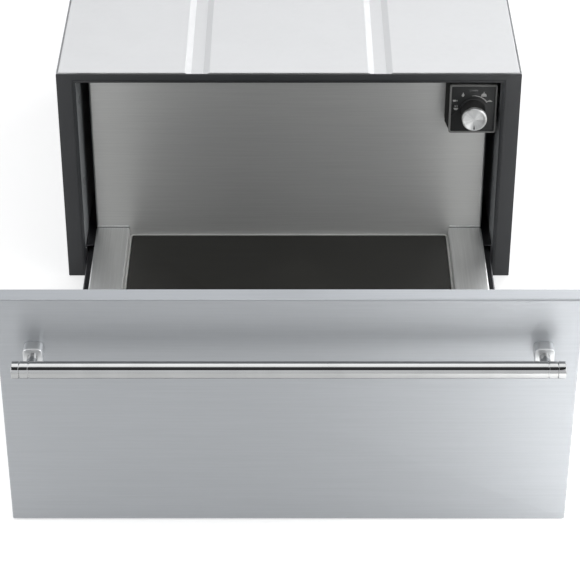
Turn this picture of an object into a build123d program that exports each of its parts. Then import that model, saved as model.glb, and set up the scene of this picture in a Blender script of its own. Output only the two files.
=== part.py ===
from build123d import *
import os

# Built-in warming drawer, shown with its drawer pulled fully out.
# Millimetres. X is to the right, Y to the back, Z up. The origin is the middle of the
# face that the cabinet stands on, and the front of the cabinet looks along -Y.

# --- Cabinet -------------------------------------------------------------------------
cabinet_width = 558.0
cabinet_height = 288.0
cabinet_depth = 540.0
cabinet_sheet = 1.2
cabinet_bend = 1.6          # bend radius on the middle of the sheet
cabinet_flange = 14.0       # height of the folded joining flanges
fold_width = 13.8           # of the side panels' folds behind the front frame
frame_sheet = 1.5
post_width = 23.0           # dark upright beside the opening
lintel_height = 12.0
sill_height = 6.0
swage_rise = 4.0            # pressed stiffening ribs of the base and the top
swage_width = 30.0
swage_slope = 7.5
swage_places = (110.0,)
liner_stop = 16.0           # from the liner's rear end to the rear panel
slip = 0.3                  # gap between neighbours that are dropped in
cut = 1.0                   # how far a cutting tool runs past the sheet

# --- Cabinet's screws, vents and fixing holes ----------------------------------------
fixing_setback = 32.0       # from the cabinet's front to the housing screws
fixing_low = 121.0
fixing_high = 236.0
fixing_radius = 2.6
screwdriver_radius = 6.0
screw_margin = 24.0         # from the rear panel's screws to its upper or lower edge
screw_radius = 1.6
screw_length = 5.0
screw_head_radius = 3.2
screw_head_height = 1.8
vent_groups = (-150.0, 0.0)
vent_rows = 4
vent_pitch = 9.0
vent_drop = 39.0            # from the cabinet's top to the highest slot
vent_length = 90.0
vent_height = 3.2

# --- Telescopic slides ---------------------------------------------------------------
rail_thickness = 12.7
rail_height = 35.0
rail_setback = 8.0          # from the front of the cabinet to the fixed rails
rail_end_room = 42.0        # behind the fixed rails
rail_overlap = 30.0         # of the outer and inner rail, drawn fully out
rail_base = 6.0             # height of the slides' lower edge above the shelf
rail_screw_radius = 2.3
rail_window_length = 14.0   # windows through which the fixed rail's screws are reached
rail_window_height = 10.0
rail_hole_inset = 29.0      # from a rail's end to its first hole
roller_radius = 2.0
roller_length = 4.4
roller_clearance = 0.15
roller_offset = 1.0         # from the slide's middle to the rollers' middle
rollers_per_row = 3
outer_sheet = 1.2
middle_sheet = 1.4
inner_sheet = 1.4
web_gap = 1.4               # between the outer and the middle rail's webs
lip_setback = 1.5           # of the lips' outer face from the inner rail's face
cage_sheet = 0.5
cage_room = 55.0            # for the cage's own travel between its stops

# --- Drawer --------------------------------------------------------------------------
tray_base = 7.0
tray_sheet = 1.0
tray_flange = 12.0
rail_headroom = 3.0         # from the slides' upper edge to the tray's folded top
rear_wall_setback = 45.0    # rear wall behind the cabinet's front, drawer pulled out
rear_wall_drop = 16.0       # from the cabinet's top to the rear wall's upper edge
rear_wall_fold = 14.0
rear_wall_bend = 2.0
tongue_rise = 4.0           # from the tray's floor to the rear wall's lower edge
ledge_width = 42.0
ledge_overhang = 1.7
ledge_sheet = 1.0
ledge_step = 11.0           # from the ledge's top down to the glass
ledge_hem_gap = 1.2         # from the slide up to the ledge's outer hem
glass_thickness = 4.0
glass_corner = 2.0
trim_width = 2.5
trim_proud = 0.5
carrier_lap = 12.0          # the carrier reaches this far under the glass
carrier_flange = 8.0
lead_x = 150.0              # hole for the heater's lead, at the rear
lead_rise = 12.0
lead_radius = 5.0

# --- Heater under the glass ----------------------------------------------------------
mat_thickness = 10.0
mat_side_margin = 60.0
mat_end_margin = 30.0
reflector_sheet = 0.8
reflector_rim = 8.0
reflector_corner = 6.0
board_thickness = 1.5       # mica board that carries the ribbon
board_margin = 6.0          # from the reflector's rim to the board
ribbon_width = 7.0
ribbon_thickness = 0.6
ribbon_runs = 10
ribbon_pitch = 34.0
ribbon_end_room = 18.0      # from the board's ends to the ribbon's bends
tab_thickness = 0.8
tab_width = 6.2
tab_length = 9.0
strap_height = 2.5          # ceramic bars that hold the ribbon down
strap_width = 8.0
strap_spacing = 130.0
cutout_radius = 8.5
cutout_height = 3.6
cutout_flange_length = 26.0
cutout_flange_width = 11.0
cutout_setback = 42.0       # from the reflector's rear rim

# --- Front panel ---------------------------------------------------------------------
panel_overhang = 19.5       # of the panel past each side of the cabinet
panel_depth = 19.5
panel_foot_gap = 2.0        # from the shelf to the panel's lower edge
panel_sheet = 1.0
panel_edge = 3.5            # radius round the front of the panel
inner_plate_sheet = 0.8
door_gap = 2.5              # from the panel to the cabinet, drawer shut
buffer_squash = 0.3
buffer_radius = 5.0
buffer_taper = 1.0
buffer_low = 30.0
buffer_drop = 22.0          # from the cabinet's top to the upper buffers
pocket_margin = 6.0         # round the knob, in the panel's cup
pocket_wall = 1.5
pocket_depth = 13.5
pocket_corner = 3.0
bracket_width = 22.0
bracket_length = 60.0
bracket_gap = 3.0           # from the bracket to the tray's floor

# --- Handle --------------------------------------------------------------------------
handle_end_gap = 18.5       # from the bar's end to the panel's end
handle_radius = 9.0
handle_wall = 1.5
handle_drop = 61.0          # from the panel's upper edge to the bar's axis
handle_standoff = 36.0      # from the panel's face to the bar's axis
handle_mount_inset = 19.0   # from the bar's end to the post's axis
handle_block = 20.0
handle_block_depth = 14.0
handle_block_corner = 5.5
handle_block_bevel = 1.0
handle_post_radius = 5.6
handle_cap_length = 8.3
handle_cap_bevel = 0.8
handle_spigot = 12.0
handle_ring_inset = 9.2     # from the cap to the turned line
handle_ring_width = 0.8
handle_ring_depth = 0.5
bolt_radius = 2.5
bolt_hole_radius = 3.2
bolt_head_radius = 5.0
bolt_head_height = 3.2
bolt_grip = 8.0             # how far the bolt goes into the post
bolt_socket_radius = 2.3
bolt_socket_depth = 2.0
bolt_access_radius = 8.0

# --- Control -------------------------------------------------------------------------
control_width = 57.5
control_height = 66.0
control_gap = 3.5           # from the control to the liner
control_drop = 10.0         # from the lintel's lower edge to the control
control_recess = 14.5       # from the cabinet's front to the fascia
control_depth = 41.0        # from the cabinet's front to the housing's back
bezel_width = 2.2
bezel_corner = 3.0
least_corner = 0.1          # of the outlines set in from the bezel's
bezel_proud = 0.8
fascia_thickness = 2.5
fascia_play = 0.1
housing_inset = 1.2
housing_wall = 2.0
housing_slot_rows = 4
housing_slot_pitch = 8.0
housing_slot_length = 24.0
housing_slot_height = 2.4
hanger_width = 40.0
hanger_inset = 4.0          # from the fascia and the housing's back to the hanger
lamp_drop = 8.0
lamp_width = 11.0
lamp_height = 3.6
lamp_proud = 0.4

# --- Knob and thermostat -------------------------------------------------------------
knob_axis_rise = 32.5       # knob axis above the control's lower edge
knob_radius = 15.0
knob_length = 27.0
knob_gap = 1.0
knob_hollow_depth = 7.0
knob_hollow_gap = 4.0       # round the thermostat's bush
knob_cap_depth = 5.0
knob_edge = 0.8             # chamfer round the cap's face
knob_land = 3.0             # flat ring round the cap's dished middle
knob_dish = 0.6
skirt_radius = 16.0
skirt_height = 2.4
skirt_step = 0.4            # from the cap's radius in to the black body
pointer_width = 1.8
pointer_depth = 1.0
pointer_inset = 1.6
pointer_length = 5.4
spindle_radius = 3.0
spindle_play = 0.05
spindle_end_gap = 0.5
bush_radius = 5.0
bush_proud = 1.5
bore_depth = 10.0
thermostat_width = 28.0
thermostat_height = 26.0
thermostat_depth = 14.0
thermostat_corner = 2.0
thermostat_tabs = (-9.0, -3.0, 3.0, 9.0)
thermostat_tab_length = 4.0
thermostat_tab_drop = 5.0

# --- Supply --------------------------------------------------------------------------
inlet_inset = 94.0          # from the cabinet's side to the inlet
inlet_drop = 48.0           # from the cabinet's top to the inlet
gland_radius = 8.0
gland_bore = 4.5
gland_inside = 14.0
gland_hexagon = 12.0
gland_head = 5.0
gland_nut_radius = 11.0
gland_nut = 4.8
terminal_width = 70.0
terminal_height = 48.0
terminal_depth = 24.0
terminal_corner = 4.0
terminal_block_width = 42.0
terminal_block_height = 10.0
terminal_block_depth = 12.0
terminal_block_drop = 11.5  # from the inlet down to the block
terminal_poles = 3
terminal_pitch = 12.0
terminal_screw_radius = 2.2
terminal_screw_depth = 4.0

# --- Places of the cabinet and the slides that follow from the sizes above -----------
front_y = -cabinet_depth / 2
back_y = cabinet_depth / 2
half_width = cabinet_width / 2
side_inner = half_width - cabinet_sheet
liner_x = half_width - post_width
inner_top = cabinet_height - cabinet_sheet
frame_back = front_y + frame_sheet
rear_face = back_y - cabinet_sheet
fold_lip = half_width - fold_width
fold_clear = cabinet_sheet + cabinet_bend
fixing_y = front_y + fixing_setback
fixing_heights = (fixing_low, fixing_high)

rail_length = cabinet_depth - rail_setback - rail_end_room
drawer_travel = rail_length - rail_overlap
middle_travel = drawer_travel / 2
rail_mid = rail_base + rail_height / 2
rail_front = front_y + rail_setback
track = roller_radius + roller_clearance
roller_depth = rail_thickness / 2 + roller_offset
outer_row = rail_height / 2 - outer_sheet - track
middle_edge = outer_row - track
inner_row = middle_edge - middle_sheet - track
inner_edge = inner_row - track
middle_web = outer_sheet + web_gap
lip_depth = rail_thickness - lip_setback
cage_length = rail_length - middle_travel - cage_room

# --- Places of the drawer, its panel and its handle ----------------------------------
tray_x = liner_x - rail_thickness
tray_top = rail_base + rail_height + rail_headroom
tray_front = front_y - door_gap - drawer_travel
tray_back = front_y + rear_wall_setback
tray_middle = (tray_front + tray_back) / 2
tray_depth = tray_back - tray_front
lead_z = tray_base + lead_rise
rear_wall_top = cabinet_height - rear_wall_drop
ledge_top = tray_top + ledge_sheet
ledge_outer = tray_x + ledge_overhang
ledge_inner = ledge_outer - ledge_width
glass_top = ledge_top - ledge_step
glass_base = glass_top - glass_thickness
trim_x = ledge_inner - slip
trim_depth = tray_depth - 2 * slip

mat_x = tray_x - mat_side_margin
mat_depth = tray_depth - 2 * mat_end_margin
mat_top = tray_base + tray_sheet + mat_thickness
reflector_top = mat_top + reflector_sheet
board_x = mat_x - slip - reflector_sheet - board_margin
board_depth = mat_depth - 2 * (reflector_sheet + board_margin)
board_top = reflector_top + board_thickness
ribbon_top = board_top + ribbon_thickness

panel_width = cabinet_width + 2 * panel_overhang
panel_front = tray_front - panel_depth
handle_length = panel_width - 2 * handle_end_gap
handle_mount_x = handle_length / 2 - handle_mount_inset
handle_y = panel_front - handle_standoff
handle_z = cabinet_height - handle_drop
block_front = panel_front - handle_block_depth
tube_end = handle_length / 2 - handle_cap_length

# --- Places of the control and the supply --------------------------------------------
control_right = liner_x - control_gap
control_left = control_right - control_width
control_x = (control_left + control_right) / 2
control_top = cabinet_height - lintel_height - control_drop
control_base = control_top - control_height
control_back = front_y + control_depth
fascia_y = front_y + control_recess
fascia_back = fascia_y + fascia_thickness
knob_z = control_base + knob_axis_rise
lamp_z = control_top - lamp_drop
inlet_x = half_width - inlet_inset
inlet_z = cabinet_height - inlet_drop

MIRROR = Plane.YZ


# --- Shared operations ---------------------------------------------------------------
def block(x, y, z):
    """A block between the low and high values of each pair."""
    centre = [(low + high) / 2 for low, high in (x, y, z)]
    return Pos(*centre) * Box(x[1] - x[0], y[1] - y[0], z[1] - z[0])


def along_x(section, x0, x1):
    """Extrude a section drawn in Y and Z from x0 to x1."""
    return extrude(Plane.YZ.offset(x0) * section, amount=x1 - x0)


def along_y(section, y0, y1):
    """Extrude a section drawn in X and Z from y0 to y1."""
    return extrude(Plane.XZ.offset(-y1) * section, amount=y1 - y0)


def along_z(section, z0, z1):
    """Extrude a section drawn in X and Y from z0 to z1."""
    return extrude(Plane.XY.offset(z0) * section, amount=z1 - z0)


def folded(points, sheet, bend):
    """Section of a folded sheet whose middle line runs through the points."""
    return trace(FilletPolyline(*points, radius=bend), sheet)


def rod_x(y, z, radius, x0, x1):
    """Round rod along X."""
    return Pos((x0 + x1) / 2, y, z) * Rot(0, 90, 0) * Cylinder(radius, x1 - x0)


def rod_y(x, z, radius, y0, y1):
    """Round rod along Y."""
    return Pos(x, (y0 + y1) / 2, z) * Rot(90, 0, 0) * Cylinder(radius, y1 - y0)


def rod_z(x, y, radius, z0, z1):
    """Round rod along Z."""
    return Pos(x, y, (z0 + z1) / 2) * Cylinder(radius, z1 - z0)


def turned_y(profile, x, z, y):
    """Revolve points of (radius, distance towards the front) about an axis along Y."""
    half = make_face(Polyline(*profile, close=True))
    return Pos(x, y, z) * Rot(90, 0, 0) * revolve(Plane.XZ * half, Axis.Z)


def pair(name, right):
    """The right-hand piece and its mirror image, by name."""
    return {f"{name}_right": right, f"{name}_left": mirror(right, about=MIRROR)}


def both_sides(right):
    """One node that holds a right-hand solid and its mirror image."""
    return Compound(children=[right, mirror(right, about=MIRROR)])


def plate_outline(half_x, depth, radius):
    """Rounded rectangle drawn in X and Y, centred on the tray."""
    return Pos(0, tray_middle) * RectangleRounded(2 * half_x, depth, radius)


def tray_ring(outer_x, outer_depth, inner_x, inner_depth):
    """Flat rectangular ring drawn in X and Y, centred on the tray."""
    ring = Rectangle(2 * outer_x, outer_depth) - Rectangle(2 * inner_x, inner_depth)
    return Pos(0, tray_middle) * ring


# --- Cabinet -------------------------------------------------------------------------
def swaged_pan():
    """Base of the cabinet: joining flanges at the sides and back, and pressed ribs."""
    mid = cabinet_sheet / 2
    edge = side_inner - mid
    end = rear_face - fold_clear
    points = [(-edge, cabinet_flange), (-edge, mid)]
    for place in sorted([-x for x in swage_places] + list(swage_places)):
        points += [
            (place - swage_width / 2, mid),
            (place - swage_slope, mid + swage_rise),
            (place + swage_slope, mid + swage_rise),
            (place + swage_width / 2, mid),
        ]
    points += [(edge, mid), (edge, cabinet_flange)]
    floor = along_y(folded(points, cabinet_sheet, cabinet_bend), pan_front(), end)
    x = (-fold_lip + slip, fold_lip - slip)
    strip = block(x, (end, rear_face), (0, cabinet_sheet))
    flange = block(x, (rear_face - cabinet_sheet, rear_face), (0, cabinet_flange))
    return floor + strip + flange


def pan_front():
    """Front end of the base and the top, behind the side panels' folds."""
    return frame_back + fold_clear


def side_panel():
    """Outer side of the cabinet, folded at both ends, with the two fixing holes."""
    mid = cabinet_sheet / 2
    points = [
        (fold_lip, frame_back + mid),
        (half_width - mid, frame_back + mid),
        (half_width - mid, rear_face - mid),
        (fold_lip, rear_face - mid),
    ]
    panel = along_z(folded(points, cabinet_sheet, cabinet_bend), 0, cabinet_height)
    for z in screw_heights():
        hole = (rear_face - cabinet_sheet - cut, rear_face + cut)
        panel -= rod_y(screw_x(), z, screw_radius, *hole)
    for z in fixing_heights:
        panel -= rod_x(fixing_y, z, fixing_radius, side_inner - cut, half_width + cut)
    return panel


def side_liner():
    """Inner side that the slide is fixed to, with flanges turned away from the drawer."""
    mid = cabinet_sheet / 2
    low, high = cabinet_sheet + mid, inner_top - mid
    foot = fold_lip - 3 * slip
    points = [(foot, low), (liner_x + mid, low), (liner_x + mid, high), (foot, high)]
    section = folded(points, cabinet_sheet, cabinet_bend)
    liner = along_y(section, frame_back, back_y - liner_stop)
    for z in fixing_heights:
        hole = (liner_x - cut, liner_x + cabinet_sheet + cut)
        liner -= rod_x(fixing_y, z, screwdriver_radius, *hole)
    return liner


def front_frame():
    """Flat pressed frame round the opening."""
    opening_height = cabinet_height - lintel_height - sill_height
    outer = Pos(0, cabinet_height / 2) * Rectangle(cabinet_width, cabinet_height)
    opening = Pos(0, sill_height + opening_height / 2) * Rectangle(2 * liner_x, opening_height)
    return along_y(outer - opening, front_y, frame_back)


def rear_panel():
    """Rear sheet with two groups of vent slots, the inlet's hole and the screw holes."""
    sheet = Pos(0, cabinet_height / 2) * Rectangle(
        cabinet_width - 2 * slip, cabinet_height - 2 * slip
    )
    sheet -= Pos(inlet_x, inlet_z) * Circle(gland_radius + slip)
    for place in screw_places():
        sheet -= Pos(*place) * Circle(screw_radius + slip)
    for x in vent_groups:
        for row in range(vent_rows):
            z = cabinet_height - vent_drop - row * vent_pitch
            sheet -= Pos(x, z) * Rectangle(vent_length, vent_height)
    return along_y(sheet, rear_face, back_y)


def screw_x():
    """X of the rear panel's right-hand screws, on the side panel's fold."""
    return (fold_lip + side_inner) / 2


def screw_heights():
    """Heights of the rear panel's screws."""
    return screw_margin, cabinet_height - screw_margin


def screw_places():
    """X and Z of each of the rear panel's screws."""
    return [(side * screw_x(), z) for side in (-1, 1) for z in screw_heights()]


def cabinet_screws():
    """Pan-head screws that hold the rear panel to the side panels."""
    profile = [
        (0, screw_length),
        (screw_radius, screw_length),
        (screw_radius, 0),
        (screw_head_radius, 0),
        (screw_head_radius, -screw_head_height),
        (0, -screw_head_height),
    ]
    return Compound(children=[turned_y(profile, x, z, back_y) for x, z in screw_places()])


# --- Telescopic slides ---------------------------------------------------------------
def rail_point(depth, height):
    """Point of a right-hand rail: depth from the liner, height from the rail's middle."""
    return liner_x - depth, rail_mid + height


def channel(tip, web, height, sheet):
    """Open channel section, symmetric about the rail's middle height."""
    points = [
        rail_point(tip, height),
        rail_point(web, height),
        rail_point(web, -height),
        rail_point(tip, -height),
    ]
    return folded(points, sheet, sheet)


def hole_places(start):
    """Y of the two holes of a rail that starts at a given Y."""
    return start + rail_hole_inset, start + rail_length - rail_hole_inset


def drilled_rail(section, start):
    """Extrude a rail from its front end and drill a screw hole near each end of its web."""
    rail = along_y(section, start, start + rail_length)
    wide = (liner_x - rail_thickness - cut, liner_x + cut)
    for y in hole_places(start):
        rail -= rod_x(y, rail_mid, rail_screw_radius, *wide)
    return rail


def outer_rail():
    """Fixed rail: a channel whose lips close over the ends of the outer rollers."""
    mid = outer_sheet / 2
    edge = rail_height / 2 - mid
    lip = lip_depth - mid
    lip_end = middle_edge + 3 * roller_clearance
    points = [
        rail_point(lip, lip_end),
        rail_point(lip, edge),
        rail_point(mid, edge),
        rail_point(mid, -edge),
        rail_point(lip, -edge),
        rail_point(lip, -lip_end),
    ]
    section = folded(points, outer_sheet, outer_sheet)
    return drilled_rail(section, rail_front)


def middle_rail():
    """Middle rail, drawn half out, with a row of rollers on each side of its flanges."""
    height = middle_edge - middle_sheet / 2
    section = channel(lip_depth - slip, middle_web + middle_sheet / 2, height, middle_sheet)
    start = rail_front - middle_travel
    rail = along_y(section, start, start + rail_length)
    wide = (liner_x - rail_thickness - cut, liner_x + cut)
    tall = (rail_mid - rail_window_height / 2, rail_mid + rail_window_height / 2)
    for y in hole_places(start):
        rail -= block(wide, (y - rail_window_length / 2, y + rail_window_length / 2), tall)
    return rail


def inner_rail():
    """Rail that carries the drawer, drawn fully out."""
    height = inner_edge - inner_sheet / 2
    web = rail_thickness - inner_sheet / 2
    section = channel(roller_depth - roller_radius, web, height, inner_sheet)
    return drilled_rail(section, rail_front - drawer_travel)


def roller_cage(row, web, middle_y):
    """Strip that spaces two rows of rollers, and the rollers, loose in its windows."""
    half = roller_length / 2
    section = channel(roller_depth + half + slip, web, row, cage_sheet)
    start = middle_y - cage_length / 2
    strip = along_y(section, start, start + cage_length)
    pitch = cage_length / rollers_per_row
    rollers = []
    for side in (-1, 1):
        x, z = rail_point(roller_depth, side * row)
        wide = (x - half - slip - cut, x + half + roller_clearance)
        for index in range(rollers_per_row):
            y = start + (index + 0.5) * pitch
            strip -= block(wide, (y - track, y + track), (z - cut, z + cut))
            rollers.append(rod_x(y, z, roller_radius, x - half, x + half))
    return Compound(children=[strip] + rollers)


def outer_cage():
    """Rollers between the fixed and the middle rail."""
    web = (outer_sheet + middle_web) / 2
    overlap_end = rail_front - middle_travel + rail_length
    return roller_cage(outer_row, web, (rail_front + overlap_end) / 2)


def inner_cage():
    """Rollers between the middle and the inner rail."""
    web = middle_web + middle_sheet + cage_sheet
    overlap_end = rail_front - drawer_travel + rail_length
    return roller_cage(inner_row, web, (rail_front - middle_travel + overlap_end) / 2)


# --- Drawer --------------------------------------------------------------------------
def drawer_tray():
    """Folded tray that holds the heater, with flanges at its front and back."""
    mid = tray_sheet / 2
    edge = tray_x - mid
    points = [
        (edge - tray_flange, tray_top - mid),
        (edge, tray_top - mid),
        (edge, tray_base + mid),
        (-edge, tray_base + mid),
        (-edge, tray_top - mid),
        (-edge + tray_flange, tray_top - mid),
    ]
    tray = along_y(folded(points, tray_sheet, tray_sheet), tray_front, tray_back)
    inside = (-edge + mid, edge - mid)
    tall = (tray_base, glass_base - 2 * tray_sheet)
    tray += block(inside, (tray_front, tray_front + tray_sheet), tall)
    tray += block(inside, (tray_back - tray_sheet, tray_back), tall)
    return tray - lead_hole()


def lead_hole():
    """Tool that cuts the hole for the heater's lead through the tray and its tongue."""
    deep = tray_sheet + cut
    return rod_y(lead_x, lead_z, lead_radius, tray_back - deep, tray_back + deep)


def rear_wall():
    """Brushed rear wall: its folds run behind it, and its tongue hangs behind the tray."""
    mid = tray_sheet / 2
    foot = tray_top - slip
    back = tray_back + mid
    reach = tray_back + rear_wall_fold
    x = ledge_outer - mid
    points = [(-x, reach), (-x, back), (x, back), (x, reach)]
    wall = along_z(folded(points, tray_sheet, rear_wall_bend), foot, rear_wall_top)
    inside = (-x + mid, x - mid)
    wall += block(inside, (back, reach), (rear_wall_top - tray_sheet, rear_wall_top))
    tongue = (-tray_x + tray_flange, tray_x - tray_flange)
    tall = (tray_base + tongue_rise, foot)
    wall += block(tongue, (tray_back, tray_back + tray_sheet), tall)
    return wall - lead_hole()


def ledge():
    """Brushed cover of the slide, beside the glass."""
    mid = ledge_sheet / 2
    points = [
        (ledge_inner + mid, glass_base),
        (ledge_inner + mid, ledge_top - mid),
        (ledge_outer - mid, ledge_top - mid),
        (ledge_outer - mid, rail_base + rail_height + ledge_hem_gap),
    ]
    return along_y(folded(points, ledge_sheet, ledge_sheet), tray_front, tray_back)


def glass_carrier():
    """Ring of folded sheet that the glass, its trim and the ledges rest on."""
    depth = tray_depth - 2 * (tray_sheet + slip)
    outer = tray_x - tray_sheet - slip
    inner = ledge_inner - carrier_lap
    opening = depth - 2 * carrier_lap - 2 * trim_width
    skirt = (glass_base - carrier_flange, glass_base)
    ring = tray_ring(outer, depth, inner, opening)
    lip = tray_ring(inner + tray_sheet, opening + 2 * tray_sheet, inner, opening)
    sides = tray_ring(outer, depth, outer - tray_sheet, depth + cut)
    top = along_z(ring, glass_base - tray_sheet, glass_base)
    return top + along_z(lip, *skirt) + along_z(sides, *skirt)


def glass_trim():
    """Narrow bright frame round the glass."""
    ring = plate_outline(trim_x, trim_depth, glass_corner + trim_width)
    ring -= plate_outline(trim_x - trim_width, trim_depth - 2 * trim_width, glass_corner)
    return along_z(ring, glass_base, glass_top + trim_proud)


def glass_plate():
    """Dark glass that warms what stands on it."""
    inset = trim_width + slip
    plate = plate_outline(trim_x - inset, trim_depth - 2 * inset, glass_corner)
    return along_z(plate, glass_base, glass_top)


# --- Heater --------------------------------------------------------------------------
def insulation_mat():
    """Mineral-wool mat on the tray's floor."""
    mat = Pos(0, tray_middle) * Rectangle(2 * mat_x, mat_depth)
    return along_z(mat, tray_base + tray_sheet, mat_top)


def element_reflector():
    """Shallow pan under the element."""
    body = plate_outline(mat_x - slip, mat_depth, reflector_corner)
    solid = along_z(body, mat_top, mat_top + reflector_rim)
    lid = solid.faces().sort_by(Axis.Z)[-1]
    return offset(solid, amount=-reflector_sheet, openings=[lid])


def element_board():
    """Mica board that carries the heating ribbon, cut out round the safety cut-out."""
    board = Pos(0, tray_middle) * Rectangle(2 * board_x, board_depth)
    board -= Pos(0, cutout_y()) * SlotOverall(
        cutout_flange_length + 2 * slip, cutout_flange_width + 2 * slip
    )
    board -= Pos(0, cutout_y()) * Circle(cutout_radius + slip)
    return along_z(board, reflector_top, board_top)


def cutout_y():
    """Y of the safety cut-out."""
    return tray_middle + mat_depth / 2 - cutout_setback


def heating_element():
    """Flat heating ribbon laid to and fro on the board, with a tab at each end."""
    reach = board_depth / 2 - ribbon_end_room
    first = -ribbon_pitch * (ribbon_runs - 1) / 2
    columns = [first + ribbon_pitch * index for index in range(ribbon_runs)]
    far, near = tray_middle + reach, tray_middle - reach
    turn = far - cutout_setback
    points = []
    for index, x in enumerate(columns):
        rear = turn if abs(x) < ribbon_pitch else far
        run = [(x, rear), (x, near)]
        points += run if index % 2 == 0 else run[::-1]
    element = along_z(trace(Polyline(*points), ribbon_width), board_top, ribbon_top)
    for x in (columns[0], columns[-1]):
        tab = (x - tab_width / 2, x + tab_width / 2)
        element += block(tab, (far, far + tab_length), (board_top, board_top + tab_thickness))
    return element


def element_clips():
    """Ceramic bars across the ribbon."""
    bars = []
    for y in (tray_middle - strap_spacing, tray_middle, tray_middle + strap_spacing):
        bars.append(block(
            (-board_x, board_x),
            (y - strap_width / 2, y + strap_width / 2),
            (ribbon_top, ribbon_top + strap_height),
        ))
    return Compound(children=bars)


def thermal_cutout():
    """Round safety cut-out on the reflector, with a tab on each side."""
    y = cutout_y()
    body = rod_z(0, y, cutout_radius, reflector_top, reflector_top + cutout_height)
    flange = Pos(0, y) * SlotOverall(cutout_flange_length, cutout_flange_width)
    body += along_z(flange, reflector_top, reflector_top + tab_thickness)
    middle = reflector_top + cutout_height - tab_thickness
    tab = (middle - tab_thickness / 2, middle + tab_thickness / 2)
    reach = cutout_radius + tab_length
    return body + block((-tab_width / 2, tab_width / 2), (y - reach, y + reach), tab)


# --- Front panel ---------------------------------------------------------------------
def front_skin():
    """Brushed outer panel, folded back all round, open behind."""
    x = (-panel_width / 2, panel_width / 2)
    solid = block(x, (panel_front, tray_front), (panel_foot_gap, cabinet_height))
    face = solid.faces().sort_by(Axis.Y)[0]
    solid = fillet(face.edges(), panel_edge)
    back = solid.faces().sort_by(Axis.Y)[-1]
    skin = offset(solid, amount=-panel_sheet, openings=[back])
    hole = (panel_front - cut, panel_front + panel_sheet + cut)
    for x in (-handle_mount_x, handle_mount_x):
        skin -= rod_y(x, handle_z, bolt_hole_radius, *hole)
    return skin


def pocket_block(grow, y):
    """Square block round the knob's axis that clears the knob, plus a margin."""
    half = skirt_radius + pocket_margin + grow
    return block((control_x - half, control_x + half), y, (knob_z - half, knob_z + half))


def front_inner_plate():
    """Plate inside the outer panel's folds, with the knob's window."""
    x = panel_width / 2 - panel_sheet - slip
    low = panel_foot_gap + panel_sheet + slip
    high = cabinet_height - panel_sheet - slip
    face = tray_front - inner_plate_sheet
    through = (face - cut, tray_front + cut)
    plate = block((-x, x), (face, tray_front), (low, high))
    plate -= pocket_block(pocket_wall + slip, through)
    fold = (tray_front - cabinet_flange, tray_front)
    for z in ((low, low + inner_plate_sheet), (high - inner_plate_sheet, high)):
        plate += block((-x, x), fold, z)
    for x in (-handle_mount_x, handle_mount_x):
        plate -= rod_y(x, handle_z, bolt_access_radius, *through)
    return plate


def knob_pocket():
    """Moulded cup in the panel that clears the knob."""
    deep = tray_front - pocket_depth
    cup = pocket_block(pocket_wall, (deep - pocket_wall, tray_front))
    cup = fillet(cup.edges().filter_by(Axis.Y), pocket_corner + pocket_wall)
    cavity = pocket_block(0, (deep, tray_front + cut))
    return cup - fillet(cavity.edges().filter_by(Axis.Y), pocket_corner)


def front_bracket():
    """Angle that ties a front corner of the tray to the panel."""
    mid = cabinet_sheet / 2
    x = tray_x - tray_sheet - mid
    y = tray_front + tray_sheet + mid
    points = [(x - bracket_width, y), (x, y), (x, y + bracket_length)]
    section = folded(points, cabinet_sheet, cabinet_bend)
    top = glass_base - carrier_flange - tray_sheet
    return along_z(section, tray_base + bracket_gap, top)


def buffers():
    """Rubber buttons that the panel shuts on."""
    thickness = door_gap - buffer_squash
    tip = buffer_radius - buffer_taper
    profile = [(0, 0), (buffer_radius, 0), (tip, -thickness), (0, -thickness)]
    x = half_width - post_width / 2
    heights = (buffer_low, cabinet_height - buffer_drop)
    places = [(side * x, z) for side in (-1, 1) for z in heights]
    return Compound(children=[turned_y(profile, *place, tray_front) for place in places])


# --- Handle --------------------------------------------------------------------------
def handle_bar():
    """Tube with a turned line near each end."""
    bar = rod_x(handle_y, handle_z, handle_radius, -tube_end, tube_end)
    bore = handle_radius - handle_wall
    bar -= rod_x(handle_y, handle_z, bore, -tube_end - cut, tube_end + cut)
    for x in (-tube_end + handle_ring_inset, tube_end - handle_ring_inset):
        wide = (x - handle_ring_width / 2, x + handle_ring_width / 2)
        ring = rod_x(handle_y, handle_z, handle_radius + cut, *wide)
        bar -= ring - rod_x(handle_y, handle_z, handle_radius - handle_ring_depth, *wide)
    return bar


def handle_end_caps():
    """Turned caps whose spigots fit in the tube."""
    seam = tube_end + handle_ring_width / 2
    cap = rod_x(handle_y, handle_z, handle_radius, seam, handle_length / 2)
    rim = cap.edges().filter_by(GeomType.CIRCLE).sort_by(Axis.X)[-1]
    cap = chamfer(rim, handle_cap_bevel)
    spigot = handle_radius - handle_wall
    cap += rod_x(handle_y, handle_z, spigot, tube_end - handle_spigot, seam)
    return both_sides(cap)


def handle_blocks():
    """Rounded square blocks on the panel."""
    half = handle_block / 2
    body = block(
        (handle_mount_x - half, handle_mount_x + half),
        (block_front, panel_front),
        (handle_z - half, handle_z + half),
    )
    body = fillet(body.edges().filter_by(Axis.Y), handle_block_corner)
    body = chamfer(body.faces().sort_by(Axis.Y)[0].edges(), handle_block_bevel)
    hole = (block_front - cut, panel_front + cut)
    return both_sides(body - rod_y(handle_mount_x, handle_z, bolt_hole_radius, *hole))


def handle_posts():
    """Round posts between the blocks and the bar, cut to fit the bar."""
    post = rod_y(handle_mount_x, handle_z, handle_post_radius, handle_y, block_front)
    post -= rod_x(handle_y, handle_z, handle_radius, 0, panel_width / 2)
    thread = (block_front - bolt_grip - cut, block_front + cut)
    post -= rod_y(handle_mount_x, handle_z, bolt_radius, *thread)
    return both_sides(post)


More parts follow.
